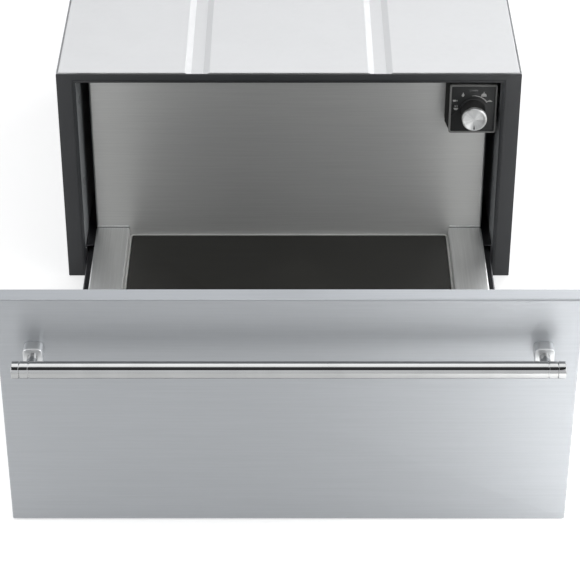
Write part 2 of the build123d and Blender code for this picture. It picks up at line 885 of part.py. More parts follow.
def handle_screws():
    """Screws from inside the panel through the blocks into the posts."""
    seat = panel_front + panel_sheet
    head = seat + bolt_head_height
    screw = rod_y(handle_mount_x, handle_z, bolt_radius, block_front - bolt_grip, seat)
    screw += rod_y(handle_mount_x, handle_z, bolt_head_radius, seat, head)
    socket = Pos(handle_mount_x, handle_z) * RegularPolygon(bolt_socket_radius, 6)
    return both_sides(screw - along_y(socket, head - bolt_socket_depth, head + cut))


# --- Control -------------------------------------------------------------------------
def control_face(inset):
    """Rounded outline of the control, drawn in X and Z, smaller by an inset all round."""
    middle = Pos(control_x, (control_top + control_base) / 2)
    corner = max(bezel_corner - inset, least_corner)
    outline = RectangleRounded(control_width - 2 * inset, control_height - 2 * inset, corner)
    return middle * outline


def control_bezel():
    """Pale rim round the fascia."""
    ring = control_face(0) - control_face(bezel_width)
    return along_y(ring, fascia_y - bezel_proud, fascia_back)


def control_fascia():
    """Black face of the control, with holes for the spindle and the lamp."""
    face = control_face(bezel_width + fascia_play)
    face -= Pos(control_x, knob_z) * Circle(bush_radius + slip)
    face -= Pos(control_x, lamp_z) * SlotOverall(lamp_width, lamp_height)
    return along_y(face, fascia_y, fascia_back)


def control_housing():
    """Moulded box behind the fascia."""
    outer = along_y(control_face(housing_inset), fascia_back, control_back)
    hollow = control_face(housing_inset + housing_wall)
    housing = outer - along_y(hollow, fascia_back - cut, control_back - housing_wall)
    slots = Sketch()
    lowest = knob_z - housing_slot_pitch * (housing_slot_rows - 1) / 2
    for row in range(housing_slot_rows):
        place = Pos(control_x, lowest + row * housing_slot_pitch)
        slots += place * Rectangle(housing_slot_length, housing_slot_height)
    return housing - along_y(slots, control_back - housing_wall - cut, control_back + cut)


def control_hanger():
    """Folded bracket that hangs the control from the top plate."""
    mid = cabinet_sheet / 2
    front, back = fascia_back + hanger_inset, control_back - hanger_inset
    high, low = inner_top - mid, control_top - housing_inset + mid
    points = [(back, high), (front, high), (front, low), (back, low)]
    section = folded(points, cabinet_sheet, cabinet_bend)
    return along_x(section, control_x - hanger_width / 2, control_x + hanger_width / 2)


def indicator_lens():
    """Small lens of the mains lamp, above the knob."""
    play = 2 * fascia_play
    lens = Pos(control_x, lamp_z) * SlotOverall(lamp_width - play, lamp_height - play)
    return along_y(lens, fascia_y - lamp_proud, fascia_back)


def thermostat():
    """Rotary heat regulator behind the fascia, with a bush round its spindle."""
    half_x, half_z = thermostat_width / 2, thermostat_height / 2
    rear = fascia_back + thermostat_depth
    body = block(
        (control_x - half_x, control_x + half_x),
        (fascia_back, rear),
        (knob_z - half_z, knob_z + half_z),
    )
    body = fillet(body.edges().filter_by(Axis.Y), thermostat_corner)
    body += rod_y(control_x, knob_z, bush_radius, fascia_y - bush_proud, fascia_back)
    tab_z = knob_z - thermostat_tab_drop
    for x in thermostat_tabs:
        body += block(
            (control_x + x - tab_thickness / 2, control_x + x + tab_thickness / 2),
            (rear, rear + thermostat_tab_length),
            (tab_z - tab_width / 2, tab_z + tab_width / 2),
        )
    bore = spindle_radius + spindle_play
    deep = (fascia_y - bush_proud - cut, fascia_back + bore_depth)
    return body - rod_y(control_x, knob_z, bore, *deep)


def thermostat_spindle():
    """Spindle that the knob turns."""
    tip = fascia_y - knob_length + knob_cap_depth
    end = fascia_back + bore_depth - spindle_end_gap
    return rod_y(control_x, knob_z, spindle_radius, tip, end)


def knob_skirt():
    """Black body of the knob, hollow behind, a little wider at the fascia."""
    neck = knob_length - knob_cap_depth
    hollow = bush_radius + knob_hollow_gap
    body_radius = knob_radius - skirt_step
    profile = [
        (spindle_radius, knob_hollow_depth),
        (hollow, knob_hollow_depth),
        (hollow, knob_gap),
        (skirt_radius, knob_gap),
        (skirt_radius, skirt_height),
        (body_radius, skirt_height),
        (body_radius, neck),
        (spindle_radius, neck),
    ]
    return turned_y(profile, control_x, knob_z, fascia_y)


def knob_cap():
    """Spun cap of the knob with a slightly dished face and a pointer groove."""
    back = knob_length - knob_cap_depth
    profile = [
        (0, back),
        (knob_radius, back),
        (knob_radius, knob_length - knob_edge),
        (knob_radius - knob_edge, knob_length),
        (knob_radius - knob_land, knob_length),
        (0, knob_length - knob_dish),
    ]
    cap = turned_y(profile, control_x, knob_z, fascia_y)
    tip = knob_z - knob_radius + pointer_inset
    groove = block(
        (control_x - pointer_width / 2, control_x + pointer_width / 2),
        (fascia_y - knob_length - cut, fascia_y - knob_length + pointer_depth),
        (tip, tip + pointer_length),
    )
    return cap - groove


# --- Supply --------------------------------------------------------------------------
def terminal_box():
    """Moulded cover of the mains terminals, inside the rear panel."""
    half_x, half_z = terminal_width / 2, terminal_height / 2
    box = block(
        (inlet_x - half_x, inlet_x + half_x),
        (rear_face - terminal_depth, rear_face),
        (inlet_z - half_z, inlet_z + half_z),
    )
    box = fillet(box.edges().filter_by(Axis.Y), terminal_corner)
    rear = box.faces().sort_by(Axis.Y)[-1]
    return offset(box, amount=-housing_wall, openings=[rear])


def terminal_block():
    """Three-pole block under the terminal box, with a sunk screw for each pole."""
    front = rear_face - terminal_block_depth
    z = inlet_z - terminal_block_drop
    body = block(
        (inlet_x - terminal_block_width / 2, inlet_x + terminal_block_width / 2),
        (front, rear_face),
        (z - terminal_block_height, z),
    )
    for pole in range(terminal_poles):
        x = inlet_x + (pole - (terminal_poles - 1) / 2) * terminal_pitch
        hole = (front - cut, front + terminal_screw_depth)
        body -= rod_y(x, z - terminal_block_height / 2, terminal_screw_radius, *hole)
    return body


def cable_gland():
    """Gland in the rear panel that the mains lead would leave through."""
    inside, outside = back_y - gland_inside, back_y + gland_head
    hexagon = Pos(inlet_x, inlet_z) * RegularPolygon(gland_hexagon, 6)
    gland = along_y(hexagon, back_y, outside)
    gland += rod_y(inlet_x, inlet_z, gland_radius, inside, outside)
    gland += rod_y(inlet_x, inlet_z, gland_nut_radius, rear_face - gland_nut, rear_face)
    return gland - rod_y(inlet_x, inlet_z, gland_bore, inside - cut, outside + cut)


# --- Assembly ------------------------------------------------------------------------
def build():
    """Every piece of the warming drawer by name."""
    base = swaged_pan()
    top = mirror(base, about=Plane.XY.offset(cabinet_height / 2))
    pieces = {
        "base_pan": base,
        "top_plate": top,
        "front_frame": front_frame(),
        "rear_panel": rear_panel(),
        "cabinet_screws": cabinet_screws(),
        "drawer_tray": drawer_tray(),
        "rear_wall": rear_wall(),
        "glass_carrier": glass_carrier(),
        "glass_trim": glass_trim(),
        "glass_plate": glass_plate(),
        "insulation_mat": insulation_mat(),
        "element_reflector": element_reflector(),
        "element_board": element_board(),
        "heating_element": heating_element(),
        "element_clips": element_clips(),
        "thermal_cutout": thermal_cutout(),
        "front_skin": front_skin(),
        "front_inner_plate": front_inner_plate(),
        "knob_pocket": knob_pocket(),
        "buffers": buffers(),
        "handle_bar": handle_bar(),
        "handle_end_caps": handle_end_caps(),
        "handle_blocks": handle_blocks(),
        "handle_posts": handle_posts(),
        "handle_screws": handle_screws(),
        "control_bezel": control_bezel(),
        "control_fascia": control_fascia(),
        "control_housing": control_housing(),
        "control_hanger": control_hanger(),
        "indicator_lens": indicator_lens(),
        "thermostat": thermostat(),
        "thermostat_spindle": thermostat_spindle(),
        "knob_skirt": knob_skirt(),
        "knob_cap": knob_cap(),
        "terminal_box": terminal_box(),
        "terminal_block": terminal_block(),
        "cable_gland": cable_gland(),
    }
    pieces |= pair("side_panel", side_panel())
    pieces |= pair("side_liner", side_liner())
    pieces |= pair("outer_rail", outer_rail())
    pieces |= pair("middle_rail", middle_rail())
    pieces |= pair("inner_rail", inner_rail())
    pieces |= pair("outer_cage", outer_cage())
    pieces |= pair("inner_cage", inner_cage())
    pieces |= pair("ledge", ledge())
    pieces |= pair("front_bracket", front_bracket())
    return pieces


os.makedirs("parts", exist_ok=True)
for name, piece in build().items():
    export_step(piece, f"parts/{name}.step")
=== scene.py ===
"""Looks of the built-in warming drawer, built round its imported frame.

Sizes in the sub-assemblies are millimetres in the frame's own axes (X right, Y back, Z up),
and meshes are written in metres. The studio is in metres, and so are the finishes' depths.
"""

import logging
import math
from abc import ABC, abstractmethod
from collections.abc import Callable, Iterable, Mapping, Sequence
from dataclasses import dataclass
from enum import Enum
from functools import cached_property
from typing import Any

import bmesh
import bpy
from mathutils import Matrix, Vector


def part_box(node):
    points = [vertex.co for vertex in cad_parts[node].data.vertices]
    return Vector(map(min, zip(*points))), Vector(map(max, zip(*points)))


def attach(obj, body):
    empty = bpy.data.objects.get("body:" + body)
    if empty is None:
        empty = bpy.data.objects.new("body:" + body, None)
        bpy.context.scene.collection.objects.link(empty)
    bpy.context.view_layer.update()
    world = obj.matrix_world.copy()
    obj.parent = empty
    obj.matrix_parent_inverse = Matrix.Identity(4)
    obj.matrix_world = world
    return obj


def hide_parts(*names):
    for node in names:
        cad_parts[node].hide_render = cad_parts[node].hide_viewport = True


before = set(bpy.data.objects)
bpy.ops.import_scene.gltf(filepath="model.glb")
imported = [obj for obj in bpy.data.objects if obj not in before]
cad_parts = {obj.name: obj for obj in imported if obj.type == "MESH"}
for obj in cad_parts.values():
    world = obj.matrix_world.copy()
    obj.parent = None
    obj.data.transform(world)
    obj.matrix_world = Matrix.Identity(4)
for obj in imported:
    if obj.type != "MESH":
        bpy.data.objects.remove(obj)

LOG = logging.getLogger("warming_drawer")
MM = 0.001
# Length or sine that counts as nothing
TINY = 1e-6
# Least cosine between the normals of a corner and its side, which keeps a sharp corner near
LEAST_LEAN = 0.5

Pair = tuple[float, float]
Triple = tuple[float, float, float]
Profile = tuple[Pair, ...]
Loop = list[Triple]


# --- Places ---------------------------------------------------------------------------
class Axis(Enum):
    """The axis that a flat outline faces, or that a turned piece turns about."""

    X = "x"
    Y = "y"
    Z = "z"

    def point(self, u: float, v: float, level: float) -> Triple:
        """Return a place in a plane across this axis.

        Args:
            u: Place along the plane's first direction.
            v: Place along its second direction.
            level: Place of the plane along this axis.

        Returns:
            The place.
        """
        if self is Axis.X:
            return level, u, v
        if self is Axis.Y:
            return u, level, v
        return u, v, level


class Side(Enum):
    """A side of the drawer, seen from the front."""

    LEFT = "left"
    RIGHT = "right"

    @property
    def way(self) -> float:
        """Return the sign of this side along X."""
        return -1.0 if self is Side.LEFT else 1.0


@dataclass(frozen=True)
class Extent:
    """Lowest and highest corner of a node, in millimetres."""

    x0: float
    x1: float
    y0: float
    y1: float
    z0: float
    z1: float

    @classmethod
    def of(cls, node: str) -> "Extent":
        """Return the extent of a node of the frame.

        Args:
            node: Name of the node.

        Returns:
            Its extent at rest.
        """
        low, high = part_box(node)
        values = [c / MM for pair in zip(low, high) for c in pair]
        return cls(*values)

    @property
    def middle(self) -> Triple:
        """Return the centre."""
        return (self.x0 + self.x1) / 2, (self.y0 + self.y1) / 2, (self.z0 + self.z1) / 2

    @property
    def half(self) -> Triple:
        """Return half of each side."""
        return (self.x1 - self.x0) / 2, (self.y1 - self.y0) / 2, (self.z1 - self.z0) / 2

    def outline(self, axis: Axis, corner: float, steps: int = 6) -> "RoundedRect":
        """Return the extent as a rectangle with rounded corners.

        Args:
            axis: The axis that it faces, Y or Z.
            corner: Radius of its corners.
            steps: Pieces in each corner.

        Returns:
            The rectangle.
        """
        second = 2 if axis is Axis.Y else 1
        centre = (self.middle[0], self.middle[second])
        return RoundedRect(axis, centre, (self.half[0], self.half[second]), corner, steps)


@dataclass(frozen=True)
class RoundedRect:
    """Rectangle with rounded corners, facing an axis."""

    axis: Axis
    centre: Pair
    half: Pair
    corner: float
    steps: int = 6
    least_corner: float = 0.12

    def loop(self, inset: float, level: float, seam: float = 0.0) -> Loop:
        """Return the outline as a loop of points.

        Args:
            inset: How far the outline lies inside the rectangle.
            level: Place along the axis.
            seam: Depth of a narrow nick in the middle of each corner.

        Returns:
            The points, the same number for every inset.
        """
        radius = max(self.corner - inset, self.least_corner)
        reach_u = self.half[0] - inset - radius
        reach_v = self.half[1] - inset - radius
        points: Loop = []
        for quarter, (su, sv) in enumerate(((1, 1), (-1, 1), (-1, -1), (1, -1))):
            for step in range(self.steps + 1):
                angle = math.radians(90 * (quarter + step / self.steps))
                reach = radius - (seam if step * 2 == self.steps else 0.0)
                u = self.centre[0] + su * reach_u + reach * math.cos(angle)
                v = self.centre[1] + sv * reach_v + reach * math.sin(angle)
                points.append(self.axis.point(u, v, level))
        return points


def polar(axis: Axis, centre: Pair, level: float, steps: int, reach: Callable[[float], float]) -> Loop:
    """Return points all round a centre.

    Args:
        axis: The axis that they face.
        centre: Their centre.
        level: Place along the axis.
        steps: Number of points.
        reach: Gives the distance from the centre at an angle.

    Returns:
        The points.
    """
    points: Loop = []
    for step in range(steps):
        angle = math.tau * step / steps
        u = centre[0] + reach(angle) * math.cos(angle)
        v = centre[1] + reach(angle) * math.sin(angle)
        points.append(axis.point(u, v, level))
    return points


@dataclass(frozen=True)
class Round:
    """Circle about an axis."""

    axis: Axis
    centre: Pair
    steps: int

    def loop(self, radius: float, level: float) -> Loop:
        """Return the circle with this radius, at this level of the axis, as a loop."""
        return polar(self.axis, self.centre, level, self.steps, lambda _: radius)


def arc(centre: Pair, radius: float, start: float, end: float, steps: int) -> list[Pair]:
    """Return the points of an arc between two angles in degrees, divided into equal steps."""
    angles = [math.radians(start + (end - start) * i / steps) for i in range(steps + 1)]
    return [(centre[0] + radius * math.cos(a), centre[1] + radius * math.sin(a)) for a in angles]


def bent_sheet(points: Sequence[Pair], thickness: float, radius: float, steps: int) -> list[Pair]:
    """Return the closed outline of a bent sheet.

    Args:
        points: Corners of the sheet's middle line.
        thickness: Thickness of the sheet.
        radius: Bend radius on the middle line.
        steps: Pieces in each bend.

    Returns:
        The outline, round both ends.
    """
    line: list[tuple[Vector, Vector]] = []
    corners = [Vector(p) for p in points]
    for index, corner in enumerate(corners):
        ahead = (corners[min(index + 1, len(corners) - 1)] - corner).normalized()
        behind = (corner - corners[max(index - 1, 0)]).normalized()
        if index in (0, len(corners) - 1):
            way = ahead if index == 0 else behind
            line.append((corner, Vector((-way.y, way.x))))
            continue
        turn = math.atan2(behind.x * ahead.y - behind.y * ahead.x, behind.dot(ahead))
        back = radius * math.tan(abs(turn) / 2)
        side = math.copysign(1.0, turn)
        normal = Vector((-behind.y, behind.x))
        pivot = corner - behind * back + normal * side * radius
        for step in range(steps + 1):
            angle = turn * step / steps
            spin = Vector((
                normal.x * math.cos(angle) - normal.y * math.sin(angle),
                normal.x * math.sin(angle) + normal.y * math.cos(angle),
            ))
            line.append((pivot - spin * side * radius, spin))
    left = [p + n * thickness / 2 for p, n in line]
    right = [p - n * thickness / 2 for p, n in line]
    return [(p.x, p.y) for p in left + right[::-1]]


class Sculpt:
    """A mesh under construction, in millimetres."""

    def __init__(self) -> None:
        """Start with nothing."""
        self.bm = bmesh.new()

    def loft(
        self, loops: Sequence[Loop], start: bool = True, end: bool = True, ring: bool = False
    ) -> "Sculpt":
        """Join loops of equally many points into a skin.

        Args:
            loops: The loops in order.
            start: Whether the first loop is closed with a face.
            end: Whether the last loop is closed with a face.
            ring: Whether the last loop joins the first, with no faces across them.

        Returns:
            This sculpt.
        """
        rows = [[self.bm.verts.new(p) for p in loop] for loop in loops]
        pairs = list(zip(rows, rows[1:])) + ([(rows[-1], rows[0])] if ring else [])
        for low, high in pairs:
            for i in range(len(low)):
                j = (i + 1) % len(low)
                self.bm.faces.new((low[i], low[j], high[j], high[i]))
        if start and not ring:
            self.bm.faces.new(rows[0][::-1])
        if end and not ring:
            self.bm.faces.new(rows[-1])
        return self

    def sweep(
        self, shape: RoundedRect | Round, section: Iterable[Sequence[float]], **ends: bool
    ) -> "Sculpt":
        """Join one shape's loops, each from its inset or radius and its level, into a skin."""
        return self.loft([shape.loop(*step) for step in section], **ends)

    def slab(
        self, axis: Axis, outline: Sequence[Pair], low: float, high: float, edge: float = 0.0
    ) -> "Sculpt":
        """Extrude a closed outline, with its rims eased.

        Args:
            axis: The axis that the outline faces.
            outline: Its points.
            low: Level of one face.
            high: Level of the other face.
            edge: Size of the eased rim.

        Returns:
            This sculpt.
        """
        levels = [(edge, low), (0.0, low + edge), (0.0, high - edge), (edge, high)]
        if edge == 0.0:
            levels = [(0.0, low), (0.0, high)]
        loops = []
        for inset, level in levels:
            loops.append([axis.point(u, v, level) for u, v in shrunk(outline, inset)])
        return self.loft(loops)

    def mirrored(self) -> "Sculpt":
        """Add the mirror image about X = 0.

        Returns:
            This sculpt.
        """
        copy = bmesh.ops.duplicate(self.bm, geom=self.bm.verts[:] + self.bm.edges[:] + self.bm.faces[:])
        for item in copy["geom"]:
            if isinstance(item, bmesh.types.BMVert):
                item.co.x = -item.co.x
        return self

    def piece(self, name: str, crease: float = 32.0, origin: Triple = (0.0, 0.0, 0.0)) -> bpy.types.Object:
        """Turn the sculpt into an object.

        Args:
            name: Name of the object.
            crease: Angle in degrees above which an edge is sharp.
            origin: Where the object's own origin lies, in millimetres.

        Returns:
            The object, linked to the scene.
        """
        bmesh.ops.recalc_face_normals(self.bm, faces=self.bm.faces[:])
        bmesh.ops.translate(self.bm, verts=self.bm.verts[:], vec=-Vector(origin))
        bmesh.ops.scale(self.bm, verts=self.bm.verts[:], vec=(MM, MM, MM))
        mesh = bpy.data.meshes.new(name)
        self.bm.to_mesh(mesh)
        self.bm.free()
        mesh.shade_smooth()
        mesh.set_sharp_from_angle(angle=math.radians(crease))
        item = bpy.data.objects.new(name, mesh)
        item.location = [c * MM for c in origin]
        bpy.context.scene.collection.objects.link(item)
        return item


def shrunk(outline: Sequence[Pair], inset: float) -> list[Pair]:
    """Return a closed outline moved inwards.

    Args:
        outline: Points of the outline, in either direction.
        inset: How far each side moves.

    Returns:
        The same number of points.
    """
    if inset == 0.0:
        return list(outline)
    count = len(outline)
    area = sum(
        outline[i][0] * outline[(i + 1) % count][1] - outline[(i + 1) % count][0] * outline[i][1]
        for i in range(count)
    )
    side = math.copysign(1.0, area)
    moved: list[Pair] = []
    for i, (u, v) in enumerate(outline):
        before = Vector((u - outline[i - 1][0], v - outline[i - 1][1])).normalized()
        after = Vector((outline[(i + 1) % count][0] - u, outline[(i + 1) % count][1] - v)).normalized()
        normal = Vector((-before.y - after.y, before.x + after.x)) * side
        if normal.length < TINY:
            moved.append((u, v))
            continue
        normal.normalize()
        lean = max(LEAST_LEAN, normal.dot(Vector((-before.y, before.x)) * side))
        moved.append((u + normal.x * inset / lean, v + normal.y * inset / lean))
    return moved


# --- Shader nodes ---------------------------------------------------------------------
class Graph:
    """A pencil for a node tree."""

    # Sockets of a Mix node between two colours
    MIX_COLOURS = (6, 7)
    MIX_RESULT = 2

    def __init__(self, tree: bpy.types.NodeTree) -> None:
        """Keep the tree that is drawn on."""
        self.tree = tree

    def add(
        self, kind: str, inputs: Mapping[str | int, Any] | None = None, **settings: Any
    ) -> bpy.types.Node:
        """Add a node.

        Args:
            kind: Blender's name of the node type, without the leading "ShaderNode".
            inputs: Sockets to link and constants to set, by name or number.
            settings: Properties of the node.

        Returns:
            The node.
        """
        node = self.tree.nodes.new("ShaderNode" + kind)
        for key, value in settings.items():
            setattr(node, key, value)
        for key, value in (inputs or {}).items():
            socket = node.inputs[key]
            if isinstance(value, bpy.types.NodeSocket):
                self.tree.links.new(value, socket)
            else:
                socket.default_value = value
        return node

    def math(self, operation: str, *values: Any, clamp: bool = False) -> bpy.types.NodeSocket:
        """Return the result of a sum on numbers or sockets."""
        node = self.add("Math", dict(enumerate(values)), operation=operation, use_clamp=clamp)
        return node.outputs[0]

    def raised(self, value: Any, effect: bpy.types.NodeSocket, share: float) -> bpy.types.NodeSocket:
        """Return a value with a share of an effect added to it."""
        return self.math("MULTIPLY_ADD", effect, share, value)

    def spread(
        self, value: bpy.types.NodeSocket, low: Pair, high: Pair = (0.0, 1.0)
    ) -> bpy.types.NodeSocket:
        """Map a value smoothly from the range low to the range high."""
        inputs = {0: value, 1: low[0], 2: low[1], 3: high[0], 4: high[1]}
        return self.add("MapRange", inputs, interpolation_type="SMOOTHSTEP").outputs[0]

    def mix(self, factor: Any, first: Any, second: Any) -> bpy.types.NodeSocket:
        """Mix two colours.

        Args:
            factor: Share of the second one, from 0 to 1.
            first: The first colour or its socket.
            second: The second colour or its socket.

        Returns:
            The mix.
        """
        node = self.add("Mix", {0: factor}, data_type="RGBA")
        for key, value in zip(self.MIX_COLOURS, (first, second)):
            if isinstance(value, bpy.types.NodeSocket):
                self.tree.links.new(value, node.inputs[key])
            else:
                node.inputs[key].default_value = (*value, 1.0)
        return node.outputs[self.MIX_RESULT]

    def bump(
        self, height: bpy.types.NodeSocket, strength: float, distance: float, **settings: Any
    ) -> bpy.types.NodeSocket:
        """Return the normal of a surface with this height."""
        inputs = {"Strength": strength, "Distance": distance, "Height": height}
        return self.add("Bump", inputs, **settings).outputs[0]

    def place(self) -> bpy.types.NodeSocket:
        """Return the place on the object, in metres."""
        return self.add("TexCoord").outputs["Object"]

    def pushed(self, vector: bpy.types.NodeSocket, cloud: bpy.types.Node, by: float) -> bpy.types.NodeSocket:
        """Return a vector pushed about by the colours of a cloud."""
        inputs = {0: cloud.outputs["Color"], 1: (by, by, by), 2: vector}
        return self.add("VectorMath", inputs, operation="MULTIPLY_ADD").outputs[0]


class Effects:
    """Surface effects that several finishes share, each one node group built once."""

    @staticmethod
    def _start(
        name: str, given: str, *outputs: str, kind: str = "Float"
    ) -> tuple[Graph, bpy.types.NodeSocket, Any]:
        """Start a group with one input.

        Args:
            name: Name of the group.
            given: Name of its input.
            outputs: Names of its outputs, all of them values.
            kind: Kind of the input.

        Returns:
            The graph, the socket of the input and the sockets of the outputs.
        """
        tree = bpy.data.node_groups.new(name, "ShaderNodeTree")
        tree.interface.new_socket(given, in_out="INPUT", socket_type="NodeSocket" + kind)
        for label in outputs:
            tree.interface.new_socket(label, in_out="OUTPUT", socket_type="NodeSocketFloat")
        entry = tree.nodes.new("NodeGroupInput")
        leave = tree.nodes.new("NodeGroupOutput")
        return Graph(tree), entry.outputs[0], leave.inputs

    @staticmethod
    def _end(graph: Graph, out: Any, **results: bpy.types.NodeSocket) -> bpy.types.NodeTree:
        """Link a group's results to its outputs.

        Args:
            graph: The group's graph.
            out: The group's output sockets.
            results: The results, by the names of the outputs.

        Returns:
            The group.
        """
        for label, result in results.items():
            graph.tree.links.new(result, out[label])
        return graph.tree

    @cached_property
    def grain(self) -> bpy.types.NodeTree:
        """Long brushed lines: a broad tone and a fine height.

        Returns:
            The group.
        """
        graph, given, out = self._start("BrushedGrain", "Stretch", "Tone", "Height", kind="Vector")
        where = graph.add("VectorMath", {0: graph.place(), 1: given}, operation="MULTIPLY").outputs[0]
        broad = graph.add("TexNoise", {"Vector": where, "Scale": 0.35, "Detail": 4.0, "Roughness": 0.7})
        fine = graph.add("TexNoise", {"Vector": where, "Scale": 2.4, "Detail": 3.0, "Roughness": 0.6})
        return self._end(graph, out, Tone=broad.outputs[0], Height=fine.outputs[0])

    @cached_property
    def handling(self) -> bpy.types.NodeTree:
        """Wiped patches that use leaves on a surface.

        Returns:
            The group.
        """
        graph, given, out = self._start("HandlingMarks", "Scale", "Smudge")
        cloud = graph.add("TexNoise", {
            "Vector": graph.place(), "Scale": given, "Detail": 3.0, "Distortion": 0.6,
        })
        return self._end(graph, out, Smudge=graph.spread(cloud.outputs[0], (0.38, 0.68)))

    @cached_property
    def spangle(self) -> bpy.types.NodeTree:
        """Zinc crystals: a tone for each and a height.

        Returns:
            The group.
        """
        graph, given, out = self._start("ZincSpangle", "Scale", "Tone", "Height")
        where = graph.place()
        wobble = graph.add("TexNoise", {"Vector": where, "Scale": 160.0, "Detail": 2.0})
        pushed = graph.pushed(where, wobble, 0.006)
        cells = graph.add("TexVoronoi", {"Vector": pushed, "Scale": given})
        parts = graph.add("SeparateColor", {0: cells.outputs["Color"]})
        feather = graph.add("TexNoise", {"Vector": where, "Scale": 900.0, "Detail": 3.0})
        tone = graph.raised(graph.math("MULTIPLY", parts.outputs[0], 0.75), feather.outputs[0], 0.25)
        height = graph.math("ADD", parts.outputs[1], feather.outputs[0])
        return self._end(graph, out, Tone=tone, Height=height)

    @cached_property
    def peel(self) -> bpy.types.NodeTree:
        """Soft bumps of a coat or a moulded skin, and its lighter flecks.

        Returns:
            The group.
        """
        graph, given, out = self._start("CoatPeel", "Scale", "Height", "Fleck")
        where = graph.place()
        bumps = graph.add("TexNoise", {"Vector": where, "Scale": given, "Detail": 1.5})
        flecks = graph.add("TexVoronoi", {"Vector": where, "Scale": given})
        fleck = graph.spread(flecks.outputs["Distance"], (0.1, 0.35), (1.0, 0.0))
        return self._end(graph, out, Height=bumps.outputs[0], Fleck=fleck)

    @cached_property
    def dust(self) -> bpy.types.NodeTree:
        """Thin dust on faces that look up.

        Returns:
            The group.
        """
        graph, given, out = self._start("SettledDust", "Amount", "Mask")
        facing = graph.add("SeparateXYZ", {0: graph.add("NewGeometry").outputs["Normal"]}).outputs[2]
        cloud = graph.add("TexNoise", {
            "Vector": graph.place(), "Scale": 22.0, "Detail": 6.0, "Roughness": 0.7,
        })
        level = graph.math("MULTIPLY", graph.spread(facing, (0.5, 0.95)), cloud.outputs[0])
        return self._end(graph, out, Mask=graph.math("MULTIPLY", level, given, clamp=True))

    @cached_property
    def scratches(self) -> bpy.types.NodeTree:
        """Fine crossing scratches.

        Returns:
            The group.
        """
        graph, given, out = self._start("FineScratches", "Scale", "Mask")
        where = graph.place()
        bend = graph.add("TexNoise", {"Vector": where, "Scale": 6.0, "Detail": 1.0})
        inputs = {"Vector": graph.pushed(where, bend, 0.12), "Scale": given}
        lines = graph.add("TexVoronoi", inputs, feature="DISTANCE_TO_EDGE")
        fade = graph.add("TexNoise", {"Vector": where, "Scale": 14.0, "Detail": 2.0})
        line = graph.spread(lines.outputs["Distance"], (0.0, 0.02), (1.0, 0.0))
        keep = graph.spread(fade.outputs[0], (0.52, 0.66))
        return self._end(graph, out, Mask=graph.math("MULTIPLY", line, keep))


def emptied(owner: Any) -> Graph:
    """Return the graph of a new material or world, with nothing in it.

    Args:
        owner: The material or world.

    Returns:
        Its graph.
    """
    owner.use_nodes = True
    owner.node_tree.nodes.clear()
    return Graph(owner.node_tree)


# --- Finishes -------------------------------------------------------------------------
@dataclass(frozen=True)
class Finish(ABC):
    """A finish that can be painted on a piece."""

    name: str
    colour: Triple
    roughness: float

    @abstractmethod
    def draw(self, graph: Graph, effects: Effects) -> bpy.types.Node:
        """Draw the finish's nodes.

        Args:
            graph: The material's graph.
            effects: Shared effects.

        Returns:
            The shader node that goes to the output.
        """

    def build(self, effects: Effects) -> bpy.types.Material:
        """Make the material.

        Args:
            effects: Shared effects.

        Returns:
            The material.
        """
        material = bpy.data.materials.new(self.name)
        graph = emptied(material)
        shader = self.draw(graph, effects)
        graph.add("OutputMaterial", {"Surface": shader.outputs[0]})
        material.diffuse_color = (*self.colour, 1.0)
        return material

    def shades(self, darker: float, lighter: float) -> tuple[Triple, Triple]:
        """Return the colour multiplied by each of two factors."""
        low, high = [tuple(min(1.0, c * k) for c in self.colour) for k in (darker, lighter)]
        return low, high


def grouped(graph: Graph, tree: bpy.types.NodeTree, **inputs: Any) -> Any:
    """Place a shared effect in a material.

    Args:
        graph: The material's graph.
        tree: The effect.
        inputs: Its values, by the names of its inputs.

    Returns:
        The effect's outputs.
    """
    node = graph.add("Group", node_tree=tree)
    for key, value in inputs.items():
        node.inputs[key].default_value = value
    return node.outputs


class Grain(Enum):
    """Direction of a brushed surface's lines: features per metre along each axis."""

    ALONG_X = (26.0, 1500.0, 1500.0)
    ALONG_Y = (1500.0, 26.0, 1500.0)

    @property
    def across(self) -> Triple:
        """Return the direction in which this grain spreads reflections."""
        return (1.0, 0.0, 0.0) if self is Grain.ALONG_Y else (0.0, 0.0, 1.0)


@dataclass(frozen=True)
class Brushed(Finish):
    """Stainless steel brushed in one direction."""

    grain: Grain
    anisotropy: float
    contrast: Pair
    smudge: float
    depth: float = 0.00004
    ripple: float = 0.08

    def draw(self, graph: Graph, effects: Effects) -> bpy.types.Node:
        """Draw lines, wiped patches and a stretched gloss.

        Args:
            graph: The material's graph.
            effects: Shared effects.

        Returns:
            The shader.
        """
        lines = grouped(graph, effects.grain, Stretch=self.grain.value)
        marks = grouped(graph, effects.handling, Scale=5.0)
        low, high = self.shades(*self.contrast)
        base = graph.mix(graph.spread(lines["Tone"], (0.3, 0.7)), low, high)
        rough = graph.raised(self.roughness, marks["Smudge"], self.smudge)
        rough = graph.raised(rough, lines["Height"], self.ripple)
        way = graph.add("CombineXYZ", dict(enumerate(self.grain.across)))
        return graph.add("BsdfPrincipled", {
            "Base Color": base,
            "Metallic": 1.0,
            "Roughness": rough,
            "Anisotropic": self.anisotropy,
            "Tangent": way.outputs[0],
            "Normal": graph.bump(lines["Height"], 0.35, self.depth),
        })


